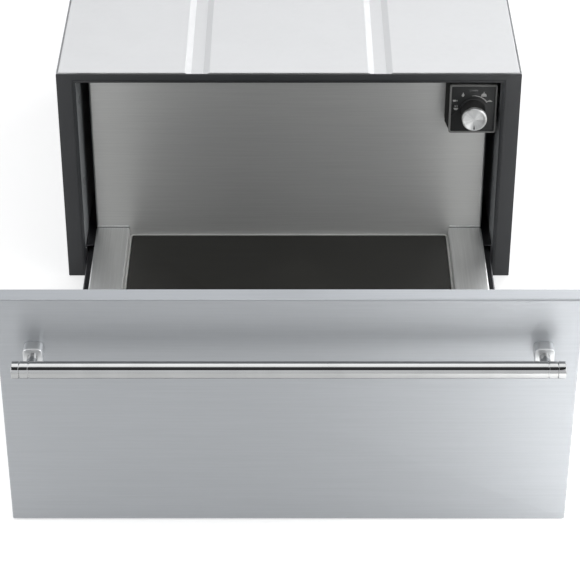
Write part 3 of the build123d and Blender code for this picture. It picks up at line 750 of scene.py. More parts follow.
@dataclass(frozen=True)
class Polished(Finish):
    """Polished or satin plated metal with a few fine scratches."""

    marks: float
    wipe_tone: Pair = (0.93, 1.0)

    def draw(self, graph: Graph, effects: Effects) -> bpy.types.Node:
        """Draw a bright metal with faint wipes and hairlines.

        Args:
            graph: The material's graph.
            effects: Shared effects.

        Returns:
            The shader.
        """
        wipes = grouped(graph, effects.handling, Scale=24.0)
        hairs = grouped(graph, effects.scratches, Scale=26.0)
        low, high = self.shades(*self.wipe_tone)
        rough = graph.raised(self.roughness, wipes["Smudge"], self.marks)
        return graph.add("BsdfPrincipled", {
            "Base Color": graph.mix(wipes["Smudge"], high, low),
            "Metallic": 1.0,
            "Roughness": graph.raised(rough, hairs["Mask"], self.marks),
            "Normal": graph.bump(hairs["Mask"], 0.1, 0.00002, invert=True),
        })


@dataclass(frozen=True)
class Galvanised(Finish):
    """Zinc-coated sheet with crystals, dulled by handling."""

    scale: float = 95.0
    dust: float = 0.35
    contrast: Pair = (0.78, 1.12)
    dulled: float = 0.3
    grazing: float = 1.0
    crystal_gloss: float = 0.16
    dust_colour: Triple = (0.45, 0.44, 0.42)

    def draw(self, graph: Graph, effects: Effects) -> bpy.types.Node:
        """Draw crystals, dulled patches and dust.

        Args:
            graph: The material's graph.
            effects: Shared effects.

        Returns:
            The shader.
        """
        zinc = grouped(graph, effects.spangle, Scale=self.scale)
        marks = grouped(graph, effects.handling, Scale=7.0)
        dust = grouped(graph, effects.dust, Amount=self.dust)
        low, high = self.shades(*self.contrast)
        base = graph.mix(zinc["Tone"], low, high)
        base = graph.mix(graph.math("MULTIPLY", marks["Smudge"], self.dulled), base, self.shades(0.8, 1)[0])
        rough = graph.raised(self.roughness, zinc["Tone"], self.crystal_gloss)
        return graph.add("BsdfPrincipled", {
            "Base Color": graph.mix(dust["Mask"], base, self.dust_colour),
            "Metallic": graph.math("SUBTRACT", 1.0, dust["Mask"], clamp=True),
            "Roughness": graph.raised(rough, dust["Mask"], 0.3),
            "Specular Tint": (self.grazing, self.grazing, self.grazing, 1.0),
            "Normal": graph.bump(zinc["Height"], 0.2, 0.00004),
        })


@dataclass(frozen=True)
class Coated(Finish):
    """A paint, a plastic, rubber or ceramic: a body colour under a fine skin."""

    scale: float
    depth: float
    fleck: float
    dust: float
    coat: float = 0.0
    specular: float = 0.5
    dust_colour: Triple = (0.42, 0.41, 0.39)

    def draw(self, graph: Graph, effects: Effects) -> bpy.types.Node:
        """Draw the skin, its flecks, wiped patches and dust.

        Args:
            graph: The material's graph.
            effects: Shared effects.

        Returns:
            The shader.
        """
        skin = grouped(graph, effects.peel, Scale=self.scale)
        marks = grouped(graph, effects.handling, Scale=11.0)
        dust = grouped(graph, effects.dust, Amount=self.dust)
        low, high = self.shades(0.88, 1.0 + 4.0 * self.fleck)
        base = graph.mix(graph.math("MULTIPLY", skin["Fleck"], 0.5), self.colour, high)
        base = graph.mix(graph.math("MULTIPLY", marks["Smudge"], 0.5), base, low)
        rough = graph.raised(self.roughness, marks["Smudge"], 0.07)
        return graph.add("BsdfPrincipled", {
            "Base Color": graph.mix(dust["Mask"], base, self.dust_colour),
            "Roughness": graph.raised(rough, dust["Mask"], 0.4),
            "Specular IOR Level": self.specular,
            "Coat Weight": self.coat,
            "Coat Roughness": 0.08,
            "Normal": graph.bump(skin["Height"], 0.5, self.depth),
        })


@dataclass(frozen=True)
class Spun(Finish):
    """Aluminium turned on a lathe: rings about the piece's own Y axis."""

    ring: float = 0.28

    def draw(self, graph: Graph, effects: Effects) -> bpy.types.Node:
        """Draw fine rings, faint spokes of painted highlight and a gloss stretched across the rings.

        Args:
            graph: The material's graph.
            effects: Shared effects.

        Returns:
            The shader.
        """
        where = graph.add("SeparateXYZ", {0: graph.place()})
        x, z = where.outputs[0], where.outputs[2]
        squares = [graph.math("POWER", side, 2.0) for side in (x, z)]
        radius = graph.math("SQRT", graph.math("ADD", *squares))
        reach = graph.math("MULTIPLY", radius, 1.0 / (self.ring * MM))
        rings = graph.add("TexNoise", {"W": reach, "Scale": 1.0, "Detail": 2.0}, noise_dimensions="1D")
        turn = graph.math("ARCTAN2", z, x)
        # Painted highlight: lighter and darker wedges by angle round the axis stand for the cone-shaped
        # glints of spun metal
        painted_glint_spokes = graph.add("TexNoise", {"W": turn, "Scale": 1.6, "Detail": 3.0}, noise_dimensions="1D")
        marks = grouped(graph, effects.handling, Scale=60.0)
        low, high = self.shades(0.84, 1.06)
        rough = graph.raised(self.roughness, rings.outputs[0], 0.12)
        radial = graph.add("Tangent", direction_type="RADIAL", axis="Y")
        return graph.add("BsdfPrincipled", {
            "Base Color": graph.mix(graph.spread(painted_glint_spokes.outputs[0], (0.3, 0.7)), low, high),
            "Metallic": 1.0,
            "Roughness": graph.raised(rough, marks["Smudge"], 0.05),
            "Anisotropic": 0.88,
            "Anisotropic Rotation": 0.25,
            "Tangent": radial.outputs[0],
            "Normal": graph.bump(rings.outputs[0], 0.5, 0.00003),
        })


@dataclass(frozen=True)
class Glass(Finish):
    """Dark warming glass, black-brown in the mass, with a faint ceramic tint."""

    dust_colour: Triple = (0.4, 0.4, 0.38)

    def draw(self, graph: Graph, effects: Effects) -> bpy.types.Node:
        """Draw a dark polished plate with wiped patches, dust and hairlines.

        Args:
            graph: The material's graph.
            effects: Shared effects.

        Returns:
            The shader.
        """
        marks = grouped(graph, effects.handling, Scale=6.0)
        hairs = grouped(graph, effects.scratches, Scale=9.0)
        dust = grouped(graph, effects.dust, Amount=0.02)
        low, high = self.shades(0.85, 1.25)
        rough = graph.raised(self.roughness, marks["Smudge"], 0.05)
        return graph.add("BsdfPrincipled", {
            "Base Color": graph.mix(dust["Mask"], graph.mix(marks["Smudge"], low, high), self.dust_colour),
            "Roughness": graph.raised(rough, hairs["Mask"], 0.1),
            "IOR": 1.45,
        })


@dataclass(frozen=True)
class Wool(Finish):
    """Pressed mineral wool: tangled fibres and darker clumps."""

    def draw(self, graph: Graph, effects: Effects) -> bpy.types.Node:
        """Draw two crossed layers of stretched fibres.

        Args:
            graph: The material's graph.
            effects: Shared effects.

        Returns:
            The shader.
        """
        first = grouped(graph, effects.grain, Stretch=(90.0, 700.0, 500.0))
        second = grouped(graph, effects.grain, Stretch=(600.0, 80.0, 500.0))
        clump = grouped(graph, effects.handling, Scale=40.0)
        height = graph.math("ADD", first["Height"], second["Height"])
        low, high = self.shades(0.6, 1.2)
        base = graph.mix(graph.spread(height, (0.7, 1.3)), low, high)
        return graph.add("BsdfPrincipled", {
            "Base Color": graph.mix(graph.math("MULTIPLY", clump["Smudge"], 0.4), base, low),
            "Roughness": self.roughness,
            "Sheen Weight": 0.2,
            "Normal": graph.bump(height, 0.9, 0.0008),
        })


@dataclass(frozen=True)
class Heated(Finish):
    """Resistance ribbon, blued and browned in bands along its length."""

    tint: Triple = (0.12, 0.09, 0.16)

    def draw(self, graph: Graph, effects: Effects) -> bpy.types.Node:
        """Draw heat colours and rolled lines.

        Args:
            graph: The material's graph.
            effects: Shared effects.

        Returns:
            The shader.
        """
        lines = grouped(graph, effects.grain, Stretch=(420.0, 12.0, 420.0))
        bands = grouped(graph, effects.handling, Scale=14.0)
        base = graph.mix(bands["Smudge"], self.colour, self.tint)
        return graph.add("BsdfPrincipled", {
            "Base Color": graph.mix(graph.math("MULTIPLY", lines["Tone"], 0.3), base, self.shades(0.6, 1)[0]),
            "Metallic": 1.0,
            "Roughness": graph.raised(self.roughness, lines["Height"], 0.15),
            "Normal": graph.bump(lines["Height"], 0.3, 0.00003),
        })


@dataclass(frozen=True)
class Lens(Finish):
    """Milky moulded lens of the mains lamp."""

    def draw(self, graph: Graph, effects: Effects) -> bpy.types.Node:
        """Draw fine ribs under a clear skin.

        Args:
            graph: The material's graph.
            effects: Shared effects.

        Returns:
            The shader.
        """
        ribs = grouped(graph, effects.grain, Stretch=(1400.0, 1.0, 1.0))
        low, high = self.shades(0.8, 1.1)
        return graph.add("BsdfPrincipled", {
            "Base Color": graph.mix(ribs["Tone"], low, high),
            "Roughness": self.roughness,
            "Coat Weight": 0.6,
            "Coat Roughness": 0.05,
            "Normal": graph.bump(ribs["Height"], 0.6, 0.0001),
        })


class Finishes:
    """Every finish of the warming drawer."""

    PANEL = Brushed(
        "Steel_Panel", (0.468, 0.485, 0.504), 0.36, Grain.ALONG_X, 0.75, (0.975, 1.025), 0.015, 0.000012
    )
    WALL = Brushed("Steel_RearWall", (0.70, 0.70, 0.683), 0.50, Grain.ALONG_X, 0.8, (0.97, 1.03), 0.03)
    LEDGE = Brushed("Steel_Ledge", (0.90, 0.905, 0.90), 0.42, Grain.ALONG_Y, 0.4, (0.95, 1.05), 0.05)
    TRIM = Brushed("Steel_Trim", (0.90, 0.90, 0.88), 0.36, Grain.ALONG_X, 0.3, (0.96, 1.03), 0.03, 0.000012)
    HANDLE = Polished("Steel_Polished", (0.51, 0.515, 0.515), 0.05, 0.03)
    BLOCK = Polished("Steel_Satin", (0.76, 0.77, 0.775), 0.42, 0.04)
    ZINC = Polished("Steel_ZincPlated", (0.58, 0.60, 0.62), 0.28, 0.16)
    RAIL = Polished("Steel_BlackZinc", (0.10, 0.10, 0.108), 0.34, 0.12)
    BEARING = Polished("Steel_Bearing", (0.62, 0.62, 0.60), 0.18, 0.12)
    REFLECTOR = Polished("Steel_Aluminised", (0.70, 0.70, 0.68), 0.34, 0.12)
    SHEET = Galvanised("Steel_Galvanised", (0.47, 0.485, 0.50), 0.36)
    TOP = Galvanised("Steel_BrightSheet", (0.88, 0.885, 0.89), 0.60, 120.0, 0.04, (0.985, 1.01), 0.04, 0.25)
    GRAPHITE = Coated("Paint_Graphite", (0.030, 0.0317, 0.0344), 0.42, 900.0, 0.00003, 0.05, 0.05)
    # Painted light: the liners carry the frame's graphite paint, made far lighter to stand for light on their
    # faces inside the cabinet
    LINER_LIGHTENED = Coated("Paint_Liner_PaintedLight", (0.24, 0.250, 0.259), 0.30, 900.0, 0.00003, 0.05, 0.05)
    FASCIA = Coated("Plastic_Fascia", (0.030, 0.031, 0.031), 0.26, 500.0, 0.00001, 0.02, 0.06, 0.05, 0.22)
    BLACK = Coated("Plastic_Black", (0.013, 0.013, 0.013), 0.42, 1400.0, 0.00004, 0.05, 0.10)
    # Near-black and dull, darker than the other black plastic: a real moulded cheek whose colour also paints
    # the shadow beside the control housing
    CHEEK_SHADE = Coated("Plastic_Cheek_PaintedShade", (0.005, 0.005, 0.005), 0.6, 1400.0, 0.00004, 0.05, 0.0, 0.0, 0.12)
    KNOB = Coated("Plastic_Knob", (0.011, 0.011, 0.011), 0.30, 1600.0, 0.00002, 0.03, 0.06)
    BEZEL = Coated("Plastic_GreyRim", (0.19, 0.19, 0.184), 0.38, 1200.0, 0.00002, 0.02, 0.05)
    PHENOLIC = Coated("Plastic_Phenolic", (0.035, 0.022, 0.016), 0.48, 900.0, 0.00005, 0.10, 0.1)
    RUBBER = Coated("Rubber_Buffer", (0.020, 0.020, 0.021), 0.75, 1100.0, 0.00008, 0.06, 0.3)
    CERAMIC = Coated("Ceramic_Bar", (0.66, 0.63, 0.56), 0.62, 1500.0, 0.00006, 0.02, 0.1)
    MICA = Coated("Mica_Board", (0.36, 0.29, 0.20), 0.46, 240.0, 0.00005, 0.14, 0.1)
    INK = Coated("Ink_Print", (0.44, 0.44, 0.43), 0.55, 2400.0, 0.00001, 0.04, 0.0)
    POINTER = Coated("Ink_Pointer", (0.010, 0.010, 0.010), 0.4, 2400.0, 0.00001, 0.04, 0.0)
    CAP = Spun("Aluminium_Spun", (0.67, 0.675, 0.67), 0.24)
    GLASS = Glass("Glass_Dark", (0.0130, 0.0122, 0.0100), 0.06)
    WOOL = Wool("Mineral_Wool", (0.42, 0.37, 0.25), 0.95)
    RIBBON = Heated("Heating_Ribbon", (0.40, 0.34, 0.27), 0.42)
    LENS = Lens("Lamp_Lens", (0.075, 0.077, 0.076), 0.25)


class Paintbox:
    """Makes each material once and puts it on pieces and nodes."""

    def __init__(self) -> None:
        """Start with the shared effects and no material."""
        self.effects = Effects()
        self.made: dict[str, bpy.types.Material] = {}

    def material(self, finish: Finish) -> bpy.types.Material:
        """Return the material of a finish, made at its first use.

        Args:
            finish: The finish.

        Returns:
            Its material.
        """
        if finish.name not in self.made:
            self.made[finish.name] = finish.build(self.effects)
        return self.made[finish.name]

    def dress(self, item: bpy.types.Object, finish: Finish) -> None:
        """Give an object one finish in place of all that it has.

        Args:
            item: The object.
            finish: Its finish.
        """
        material = self.material(finish)
        if not item.material_slots:
            item.data.materials.append(material)
        for slot in item.material_slots:
            slot.material = material


# --- Sub-assemblies -------------------------------------------------------------------
@dataclass
class Assembly(ABC):
    """A sub-assembly: it keeps some nodes of the frame and replaces others."""

    paint: Paintbox
    body: str

    @abstractmethod
    def build(self) -> None:
        """Build and dress every piece."""

    def keep(self, finish: Finish, *nodes: str) -> None:
        """Dress nodes whose shape is right.

        Args:
            finish: Their finish.
            nodes: Names of the nodes.
        """
        for node in nodes:
            self.paint.dress(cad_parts[node], finish)
            LOG.info("%s: node %s in %s", type(self).__name__, node, finish.name)

    def fit(self, item: bpy.types.Object, finish: Finish, slot: str, *nodes: str) -> None:
        """Dress a piece and put it in the place of its nodes.

        Args:
            item: The piece.
            finish: Its finish.
            slot: Material slot of the record; not used.
            nodes: Nodes that it stands for, if any.
        """
        self.paint.dress(item, finish)
        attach(item, self.body)
        if nodes:
            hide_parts(*nodes)
        points = len(item.data.vertices)
        LOG.info("%s: piece %s, %d points, in %s", type(self).__name__, item.name, points, finish.name)


@dataclass
class Casing(Assembly):
    """The cabinet's sheet parts, frame, screws and inlet gland."""

    sill: float = 6.0
    lintel: float = 12.0
    frame_edge: float = 0.5
    frame_corner: float = 1.2
    opening_corner: float = 1.0
    opening_ease: Pair = (0.3, 0.2)
    lip_width: float = 4.2
    lip_corner: float = 0.8
    lip_groove: float = 0.6
    lip_step: float = 0.1
    lip_land: float = 0.4
    screw_shank: float = 1.4
    screw_length: float = 4.5
    screw_seat: float = 3.0
    screw_head: float = 3.2
    screw_rim: float = 0.25
    screw_rise: float = 1.8
    crown_flat: float = 0.9
    crown_sweep: float = 75.0
    crown_shape: float = 0.7
    crown_drop: float = 0.3
    recess_arm: float = 1.75
    recess_width: float = 0.42
    recess_lip: float = 0.03
    recess_taper: float = 0.72
    recess_depth: float = 1.1
    turned: int = 48
    gland_size: float = 12.0
    gland_height: float = 5.0
    # Radius and level of its steps, from the hexagon's foot, or inwards from the bore's mouth
    gland_thread: Profile = ((7.8, -13.0), (7.8, 0.0))
    gland_hexagon: Profile = ((11.6, 0.0), (12.0, 0.6), (12.0, 3.0), (10.6, 3.7))
    gland_dome: Profile = ((9.4, 3.8), (9.2, 4.6), (8.4, 5.0))
    gland_bore: Profile = ((6.4, 0.0), (6.0, 0.5), (5.9, 2.0), (4.7, 2.2), (4.5, 12.0))

    def build(self) -> None:
        """Build and dress every piece."""
        self.keep(Finishes.SHEET, "base_pan", "side_panel_left", "side_panel_right", "rear_panel")
        self.keep(Finishes.TOP, "top_plate")
        self.keep(Finishes.LINER_LIGHTENED, "side_liner_left", "side_liner_right")
        self.keep(Finishes.BLACK, "terminal_box", "terminal_block")
        self.front_frame()
        self.screws()
        self.gland()

    def front_frame(self) -> None:
        """Pressed frame round the opening, with eased edges and a grooved lip."""
        whole, liner = Extent.of("front_frame"), Extent.of("side_liner_right")
        face, back, edge = whole.y0, whole.y1, self.frame_edge
        low, high = self.sill, whole.z1 - self.lintel
        middle = (0.0, (low + high) / 2)
        inner = RoundedRect(Axis.Y, middle, (liner.x0, (high - low) / 2), self.opening_corner)
        reach = (inner.half[0] + self.lip_width, inner.half[1] + self.lip_width)
        lip = RoundedRect(Axis.Y, middle, reach, self.lip_corner)
        groove, step = self.lip_groove, self.lip_step
        outer = whole.outline(Axis.Y, self.frame_corner)
        loops = [outer.loop(0.0, back), outer.loop(0.0, face + edge)]
        loops += [outer.loop(i, y) for i, y in arc((edge, face + edge), edge, 202.5, 270.0, 3)]
        loops += [lip.loop(0.0, face), lip.loop(step, face + groove), lip.loop(groove, face + groove)]
        loops += [lip.loop(groove + step, face + step), lip.loop(groove + self.lip_land, face + step)]
        proud, rim = self.opening_ease
        loops += [inner.loop(-proud, back - edge), inner.loop(0.0, back - rim), inner.loop(0.0, back)]
        item = Sculpt().loft(loops, ring=True).piece("front_frame_pressed")
        self.fit(item, Finishes.GRAPHITE, "graphite_paint", "front_frame")

    def cross(self, angle: float) -> float:
        """Return how far a screw's cross recess reaches at an angle."""
        lean = min(abs(math.cos(angle)), abs(math.sin(angle)))
        return min(self.recess_arm, self.recess_width / max(lean, TINY))

    def screws(self) -> None:
        """Pan-head screws with cross recesses in the rear panel."""
        whole, head = Extent.of("cabinet_screws"), self.screw_head
        face = whole.y1 - self.screw_rise
        rim, rise = face + self.screw_rim, self.screw_rise - self.crown_drop
        top = rim + rise * math.sin(math.radians(self.crown_sweep))
        recess = ((1.0, top + self.recess_lip), (self.recess_taper, top - self.recess_depth))
        sculpt = Sculpt()
        for x in (whole.x0 + head, whole.x1 - head):
            for z in (whole.z0 + head, whole.z1 - head):
                disc = Round(Axis.Y, (x, z), self.turned)
                loops = [disc.loop(self.screw_shank, y) for y in (face - self.screw_length, face)]
                loops += [disc.loop(self.screw_seat, face), disc.loop(head, rim)]
                for part in range(1, 5):
                    angle = math.radians(self.crown_sweep * part / 4)
                    reach = self.crown_flat + (head - self.crown_flat) * math.cos(angle) ** self.crown_shape
                    loops.append(disc.loop(reach, rim + rise * math.sin(angle)))
                for size, level in recess:
                    loops.append(polar(Axis.Y, (x, z), level, self.turned, lambda a: size * self.cross(a)))
                sculpt.loft(loops)
        self.fit(sculpt.piece("rear_screws", 40.0), Finishes.ZINC, "zinc_steel", "cabinet_screws")

    def hexagon(self, angle: float) -> float:
        """Return how far the gland's hexagon reaches at an angle."""
        lean = (angle + math.pi / 6) % (math.pi / 3) - math.pi / 6
        return self.gland_size * math.cos(math.pi / 6) / math.cos(lean)

    def gland(self) -> None:
        """Gland of the mains inlet: a hexagon, a stepped dome and the seal's bore."""
        whole = Extent.of("cable_gland")
        middle, face = (whole.middle[0], whole.middle[2]), whole.y1 - self.gland_height
        disc = Round(Axis.Y, middle, self.turned)
        loops = [disc.loop(r, face + d) for r, d in self.gland_thread]
        for limit, level in self.gland_hexagon:
            loops.append(
                polar(Axis.Y, middle, face + level, self.turned, lambda a: min(self.hexagon(a), limit))
            )
        loops += [disc.loop(r, face + d) for r, d in self.gland_dome]
        loops += [disc.loop(r, whole.y1 - d) for r, d in self.gland_bore]
        item = Sculpt().loft(loops, start=False, end=False).piece("inlet_gland", 30.0)
        self.fit(item, Finishes.BLACK, "black_plastic", "cable_gland")


@dataclass
class Slides(Assembly):
    """The telescopic slides of both sides."""

    def build(self) -> None:
        """Dress the rails and the roller cages."""
        for side in Side:
            self.keep(Finishes.RAIL, *[f"{part}_rail_{side.value}" for part in ("outer", "middle", "inner")])
            self.keep(Finishes.BEARING, *[f"{part}_cage_{side.value}" for part in ("outer", "inner")])


@dataclass
class WarmingWell(Assembly):
    """The drawer's inside: rear wall, ledges, trim, glass, tray and heater."""

    ledge_sheet: float = 1.0
    ledge_bend: float = 1.5
    ledge_gap: float = 1.2
    cut_edge: float = 0.15
    glass_ease: float = 0.6
    glass_corner: float = 2.0
    trim_width: float = 2.5
    trim_round: float = 0.7
    trim_corner: float = 4.5
    seal_width: float = 1.9
    seal_play: float = 0.05
    seal_drop: float = 0.25
    seal_crown: float = 0.25
    seal_lap: float = 0.1
    hem_radius: float = 1.0
    hem_lift: float = 0.1
    hem_play: float = 0.02

    def build(self) -> None:
        """Build and dress every piece."""
        self.keep(Finishes.WALL, "rear_wall")
        self.keep(Finishes.SHEET, "drawer_tray", "glass_carrier")
        self.keep(Finishes.SHEET, "front_bracket_left", "front_bracket_right")
        self.keep(Finishes.WOOL, "insulation_mat")
        self.keep(Finishes.REFLECTOR, "element_reflector")
        self.keep(Finishes.MICA, "element_board")
        self.keep(Finishes.RIBBON, "heating_element")
        self.keep(Finishes.CERAMIC, "element_clips")
        self.keep(Finishes.PHENOLIC, "thermal_cutout")
        self.ledges()
        self.wall_foot()
        self.trim()
        self.glass()

    def ledges(self) -> None:
        """Brushed covers beside the glass, with rounded folds."""
        mid = self.ledge_sheet / 2
        for side in Side:
            whole = Extent.of(f"ledge_{side.value}")
            inner, outer = (whole.x1, whole.x0) if side is Side.LEFT else (whole.x0, whole.x1)
            inner, outer = inner + side.way * mid, outer - side.way * mid
            hem = Extent.of(f"outer_rail_{side.value}").z1 + self.ledge_gap
            points = [(inner, whole.z0), (inner, whole.z1 - mid), (outer, whole.z1 - mid), (outer, hem)]
            outline = bent_sheet(points, self.ledge_sheet, self.ledge_bend, 8)
            back = whole.y1 - self.seal_width
            sculpt = Sculpt().slab(Axis.Y, outline, whole.y0, back, self.cut_edge)
            item = sculpt.piece(f"ledge_cover_{side.value}")
            self.fit(item, Finishes.LEDGE, "brushed_stainless", f"ledge_{side.value}")

    def wall_foot(self) -> None:
        """Dark seal behind each ledge, and the rolled hem of the rear wall above it."""
        seal, hem, radius = Sculpt(), Sculpt(), self.hem_radius
        half = self.seal_width / 2 - self.seal_play
        for side in Side:
            whole = Extent.of(f"ledge_{side.value}")
            low, high = whole.x0 + self.ledge_bend, whole.x1 - self.ledge_bend
            y, base = whole.y1 - self.seal_width / 2, whole.z1 - self.seal_drop - self.seal_crown
            bottom = whole.z1 - self.ledge_sheet + self.seal_lap
            crown = arc((y, base), half, 0.0, 180.0, 8)
            outline = [(u, base + (v - base) * self.seal_crown / half) for u, v in crown]
            seal.slab(Axis.X, outline + [(y - half, bottom), (y + half, bottom)], low, high, self.seal_lap)
            centre = (whole.y1 - self.hem_play, whole.z1 + radius + self.hem_lift)
            hem.slab(Axis.X, arc(centre, radius, 90.0, 270.0, 8), low, high, self.cut_edge)
        self.fit(seal.piece("wall_foot_seal"), Finishes.RUBBER, "rubber")
        self.fit(hem.piece("wall_foot_hem"), Finishes.LEDGE, "brushed_stainless")

    def trim(self) -> None:
        """Narrow bright frame round the glass, with a rounded top."""
        whole = Extent.of("glass_trim")
        rect = whole.outline(Axis.Z, self.trim_corner, 8)
        edge, level, far = self.trim_round, whole.z1 - self.trim_round, self.trim_width - self.trim_round
        section = [(0.0, whole.z0), (0.0, level)] + arc((edge, level), edge, 157.5, 90.0, 3)
        section += arc((far, level), edge, 90.0, 0.0, 4) + [(self.trim_width, whole.z0)]
        item = Sculpt().sweep(rect, section, ring=True).piece("glass_trim_rolled")
        self.fit(item, Finishes.TRIM, "brushed_stainless", "glass_trim")

    def glass(self) -> None:
        """Dark plate with ground edges."""
        whole = Extent.of("glass_plate")
        edge, level = self.glass_ease, whole.z1 - self.glass_ease
        section = [(edge, whole.z0), (0.0, whole.z0 + edge), (0.0, level)]
        section += arc((edge, level), edge, 157.5, 90.0, 3)
        item = Sculpt().sweep(whole.outline(Axis.Z, self.glass_corner), section).piece("glass_plate_ground")
        self.fit(item, Finishes.GLASS, "dark_glass", "glass_plate")


@dataclass
class FrontPanel(Assembly):
    """The drawer's front: brushed skin, inner plate, buffers and the knob's cup."""

    sheet: float = 1.0
    edge: float = 1.6
    corner: float = 1.4
    rim_ease: float = 0.3
    rim_inside: float = 0.2
    seam: float = 0.45
    seam_start: float = 1.2
    # Radius of the buttons' steps, and their distance from the panel or from the tip
    button_foot: Profile = ((5.0, 0.0), (5.0, 0.5), (4.7, 1.0))
    button_tip: Profile = ((4.2, 0.3), (3.9, 0.0), (2.0, 0.0), (1.6, 0.3))

    def build(self) -> None:
        """Build and dress every piece."""
        self.keep(Finishes.SHEET, "front_inner_plate")
        self.keep(Finishes.BLACK, "knob_pocket")
        self.skin()
        self.buffers()

    def skin(self) -> None:
        """Brushed skin folded back all round, with a seam in each corner of the fold."""
        whole = Extent.of("front_skin")
        front, back, edge, ease = whole.y0, whole.y1, self.edge, self.rim_ease
        bend = (edge, front + edge)
        flat = [(edge, front + self.sheet)] + arc(bend, edge - self.sheet, 247.5, 180.0, 3)
        flat += [(self.sheet, back - self.rim_inside), (self.sheet - ease, back), (ease, back)]
        section = [(*step, 0.0) for step in flat]
        section += [(0.0, back - ease, self.seam), (0.0, front + edge + self.seam_start, self.seam)]
        section += [(*step, 0.0) for step in [(0.0, front + edge)] + arc(bend, edge, 191.25, 270.0, 7)]
        item = Sculpt().sweep(whole.outline(Axis.Y, self.corner), section).piece("panel_skin_folded", 28.0)
        self.fit(item, Finishes.PANEL, "brushed_stainless", "front_skin")

    def buffers(self) -> None:
        """Turned rubber buttons behind the panel."""
        whole = Extent.of("buffers")
        radius = self.button_foot[0][0]
        section = [(r, whole.y0 + d) for r, d in self.button_foot]
        section += [(r, whole.y1 - d) for r, d in self.button_tip]
        sculpt = Sculpt()
        for x in (whole.x0 + radius, whole.x1 - radius):
            for z in (whole.z0 + radius, whole.z1 - radius):
                sculpt.sweep(Round(Axis.Y, (x, z), 32), section)
        self.fit(sculpt.piece("buffer_buttons"), Finishes.RUBBER, "rubber", "buffers")


@dataclass
class Handle(Assembly):
    """Round bar with turned lines, caps, rounded blocks and posts."""

    radius: float = 8.97
    steps: int = 72
    ring_depth: float = 0.8
    ring_width: float = 1.4
    ring_inset: float = 9.2
    ring_ease: float = 0.12
    tube_wall: float = 1.5
    tube_bore: float = 6.0
    tube_ease: float = 0.25
    stations: Triple = (-150.0, 0.0, 150.0)
    # Place of the cap's first steps from the seam, and their depth under the bar's skin
    cap_start: Profile = ((-6.0, 1.6), (-0.1, 1.6), (0.0, 0.3), (0.3, 0.0))
    cap_round: float = 0.8
    # Radius of the steps on its face, and their depth under its end
    cap_face: Profile = ((6.6, 0.0), (6.4, 0.12), (1.2, 0.12), (1.0, 0.02), (0.3, 0.02))
    block_corner: float = 5.5
    block_ease: float = 1.2
    block_foot: float = 0.35
    post_radius: float = 5.6
    # Inset of the post's first steps, and their height above the block
    post_foot: Profile = ((0.5, 0.0), (0.5, 0.4), (0.0, 0.8))
    post_play: float = 0.05

    def build(self) -> None:
        """Build and dress every piece."""
        self.keep(Finishes.ZINC, "handle_screws")
        self.bar()
        self.caps()
        self.blocks()
        self.posts()

    @cached_property
    def whole(self) -> Extent:
        """Return the extent of the bar."""
        return Extent.of("handle_bar")

    @cached_property
    def disc(self) -> Round:
        """Return the circle about the bar's axis."""
        return Round(Axis.X, (self.whole.middle[1], self.whole.middle[2]), self.steps)

    def bar(self) -> None:
        """Tube with a turned line near each end."""
        radius, end, half, ease = self.radius, self.whole.x1, self.ring_width / 2, self.ring_ease
        line, low = end - self.ring_inset, radius - self.ring_depth
        right = [(line - half - ease, radius), (line - half, radius - ease), (line - half, low)]
        right += [(line + half, low), (line + half, radius - ease), (line + half + ease, radius)]
        right += [(end - self.tube_ease, radius), (end, radius - self.tube_ease)]
        right += [(end, radius - self.tube_wall), (end - self.tube_bore, radius - self.tube_wall)]
        profile = [(-x, r) for x, r in right[::-1]] + [(x, radius) for x in self.stations] + right
        sculpt = Sculpt().sweep(self.disc, [(r, x) for x, r in profile], start=False, end=False)
        self.fit(sculpt.piece("handle_tube", 30.0), Finishes.HANDLE, "polished_steel", "handle_bar")

    def caps(self) -> None:
        """Turned end caps with an eased rim and a shallow turned face."""
        seam, end = self.whole.x1 + self.ring_width / 2, Extent.of("handle_end_caps").x1
        edge = arc((self.radius - self.cap_round, end - self.cap_round), self.cap_round, 0.0, 90.0, 5)
        section = [(self.radius - d, seam + x) for x, d in self.cap_start] + edge
        section += [(r, end - d) for r, d in self.cap_face]
        item = Sculpt().sweep(self.disc, section).mirrored().piece("handle_caps_turned", 30.0)
        self.fit(item, Finishes.HANDLE, "polished_steel", "handle_end_caps")

    def blocks(self) -> None:
        """Rounded square blocks on the panel."""
        whole = Extent.of("handle_blocks")
        half, ease, foot = whole.half[2], self.block_ease, self.block_foot
        centre = (whole.x1 - half, self.disc.centre[1])
        rect = RoundedRect(Axis.Y, centre, (half, half), self.block_corner, 10)
        section = [(foot, whole.y1), (0.0, whole.y1 - foot)]
        section += arc((ease, whole.y0 + ease), ease, 180.0, 270.0, 6)
        sculpt = Sculpt().sweep(rect, section).mirrored()
        self.fit(sculpt.piece("handle_blocks_eased", 30.0), Finishes.BLOCK, "polished_steel", "handle_blocks")

    def posts(self) -> None:
        """Round posts whose ends follow the bar."""
        whole, (y, z) = Extent.of("handle_posts"), self.disc.centre
        disc = Round(Axis.Y, (whole.x1 - self.post_radius, z), 48)
        loops = [disc.loop(self.post_radius - i, whole.y1 - d) for i, d in self.post_foot]
        saddle: Loop = []
        for px, _, pz in disc.loop(self.post_radius, 0.0):
            saddle.append((px, y + math.sqrt(self.radius**2 - (pz - z) ** 2) - self.post_play, pz))
        sculpt = Sculpt().loft(loops + [saddle]).mirrored()
        self.fit(sculpt.piece("handle_posts_fitted", 30.0), Finishes.HANDLE, "polished_steel", "handle_posts")


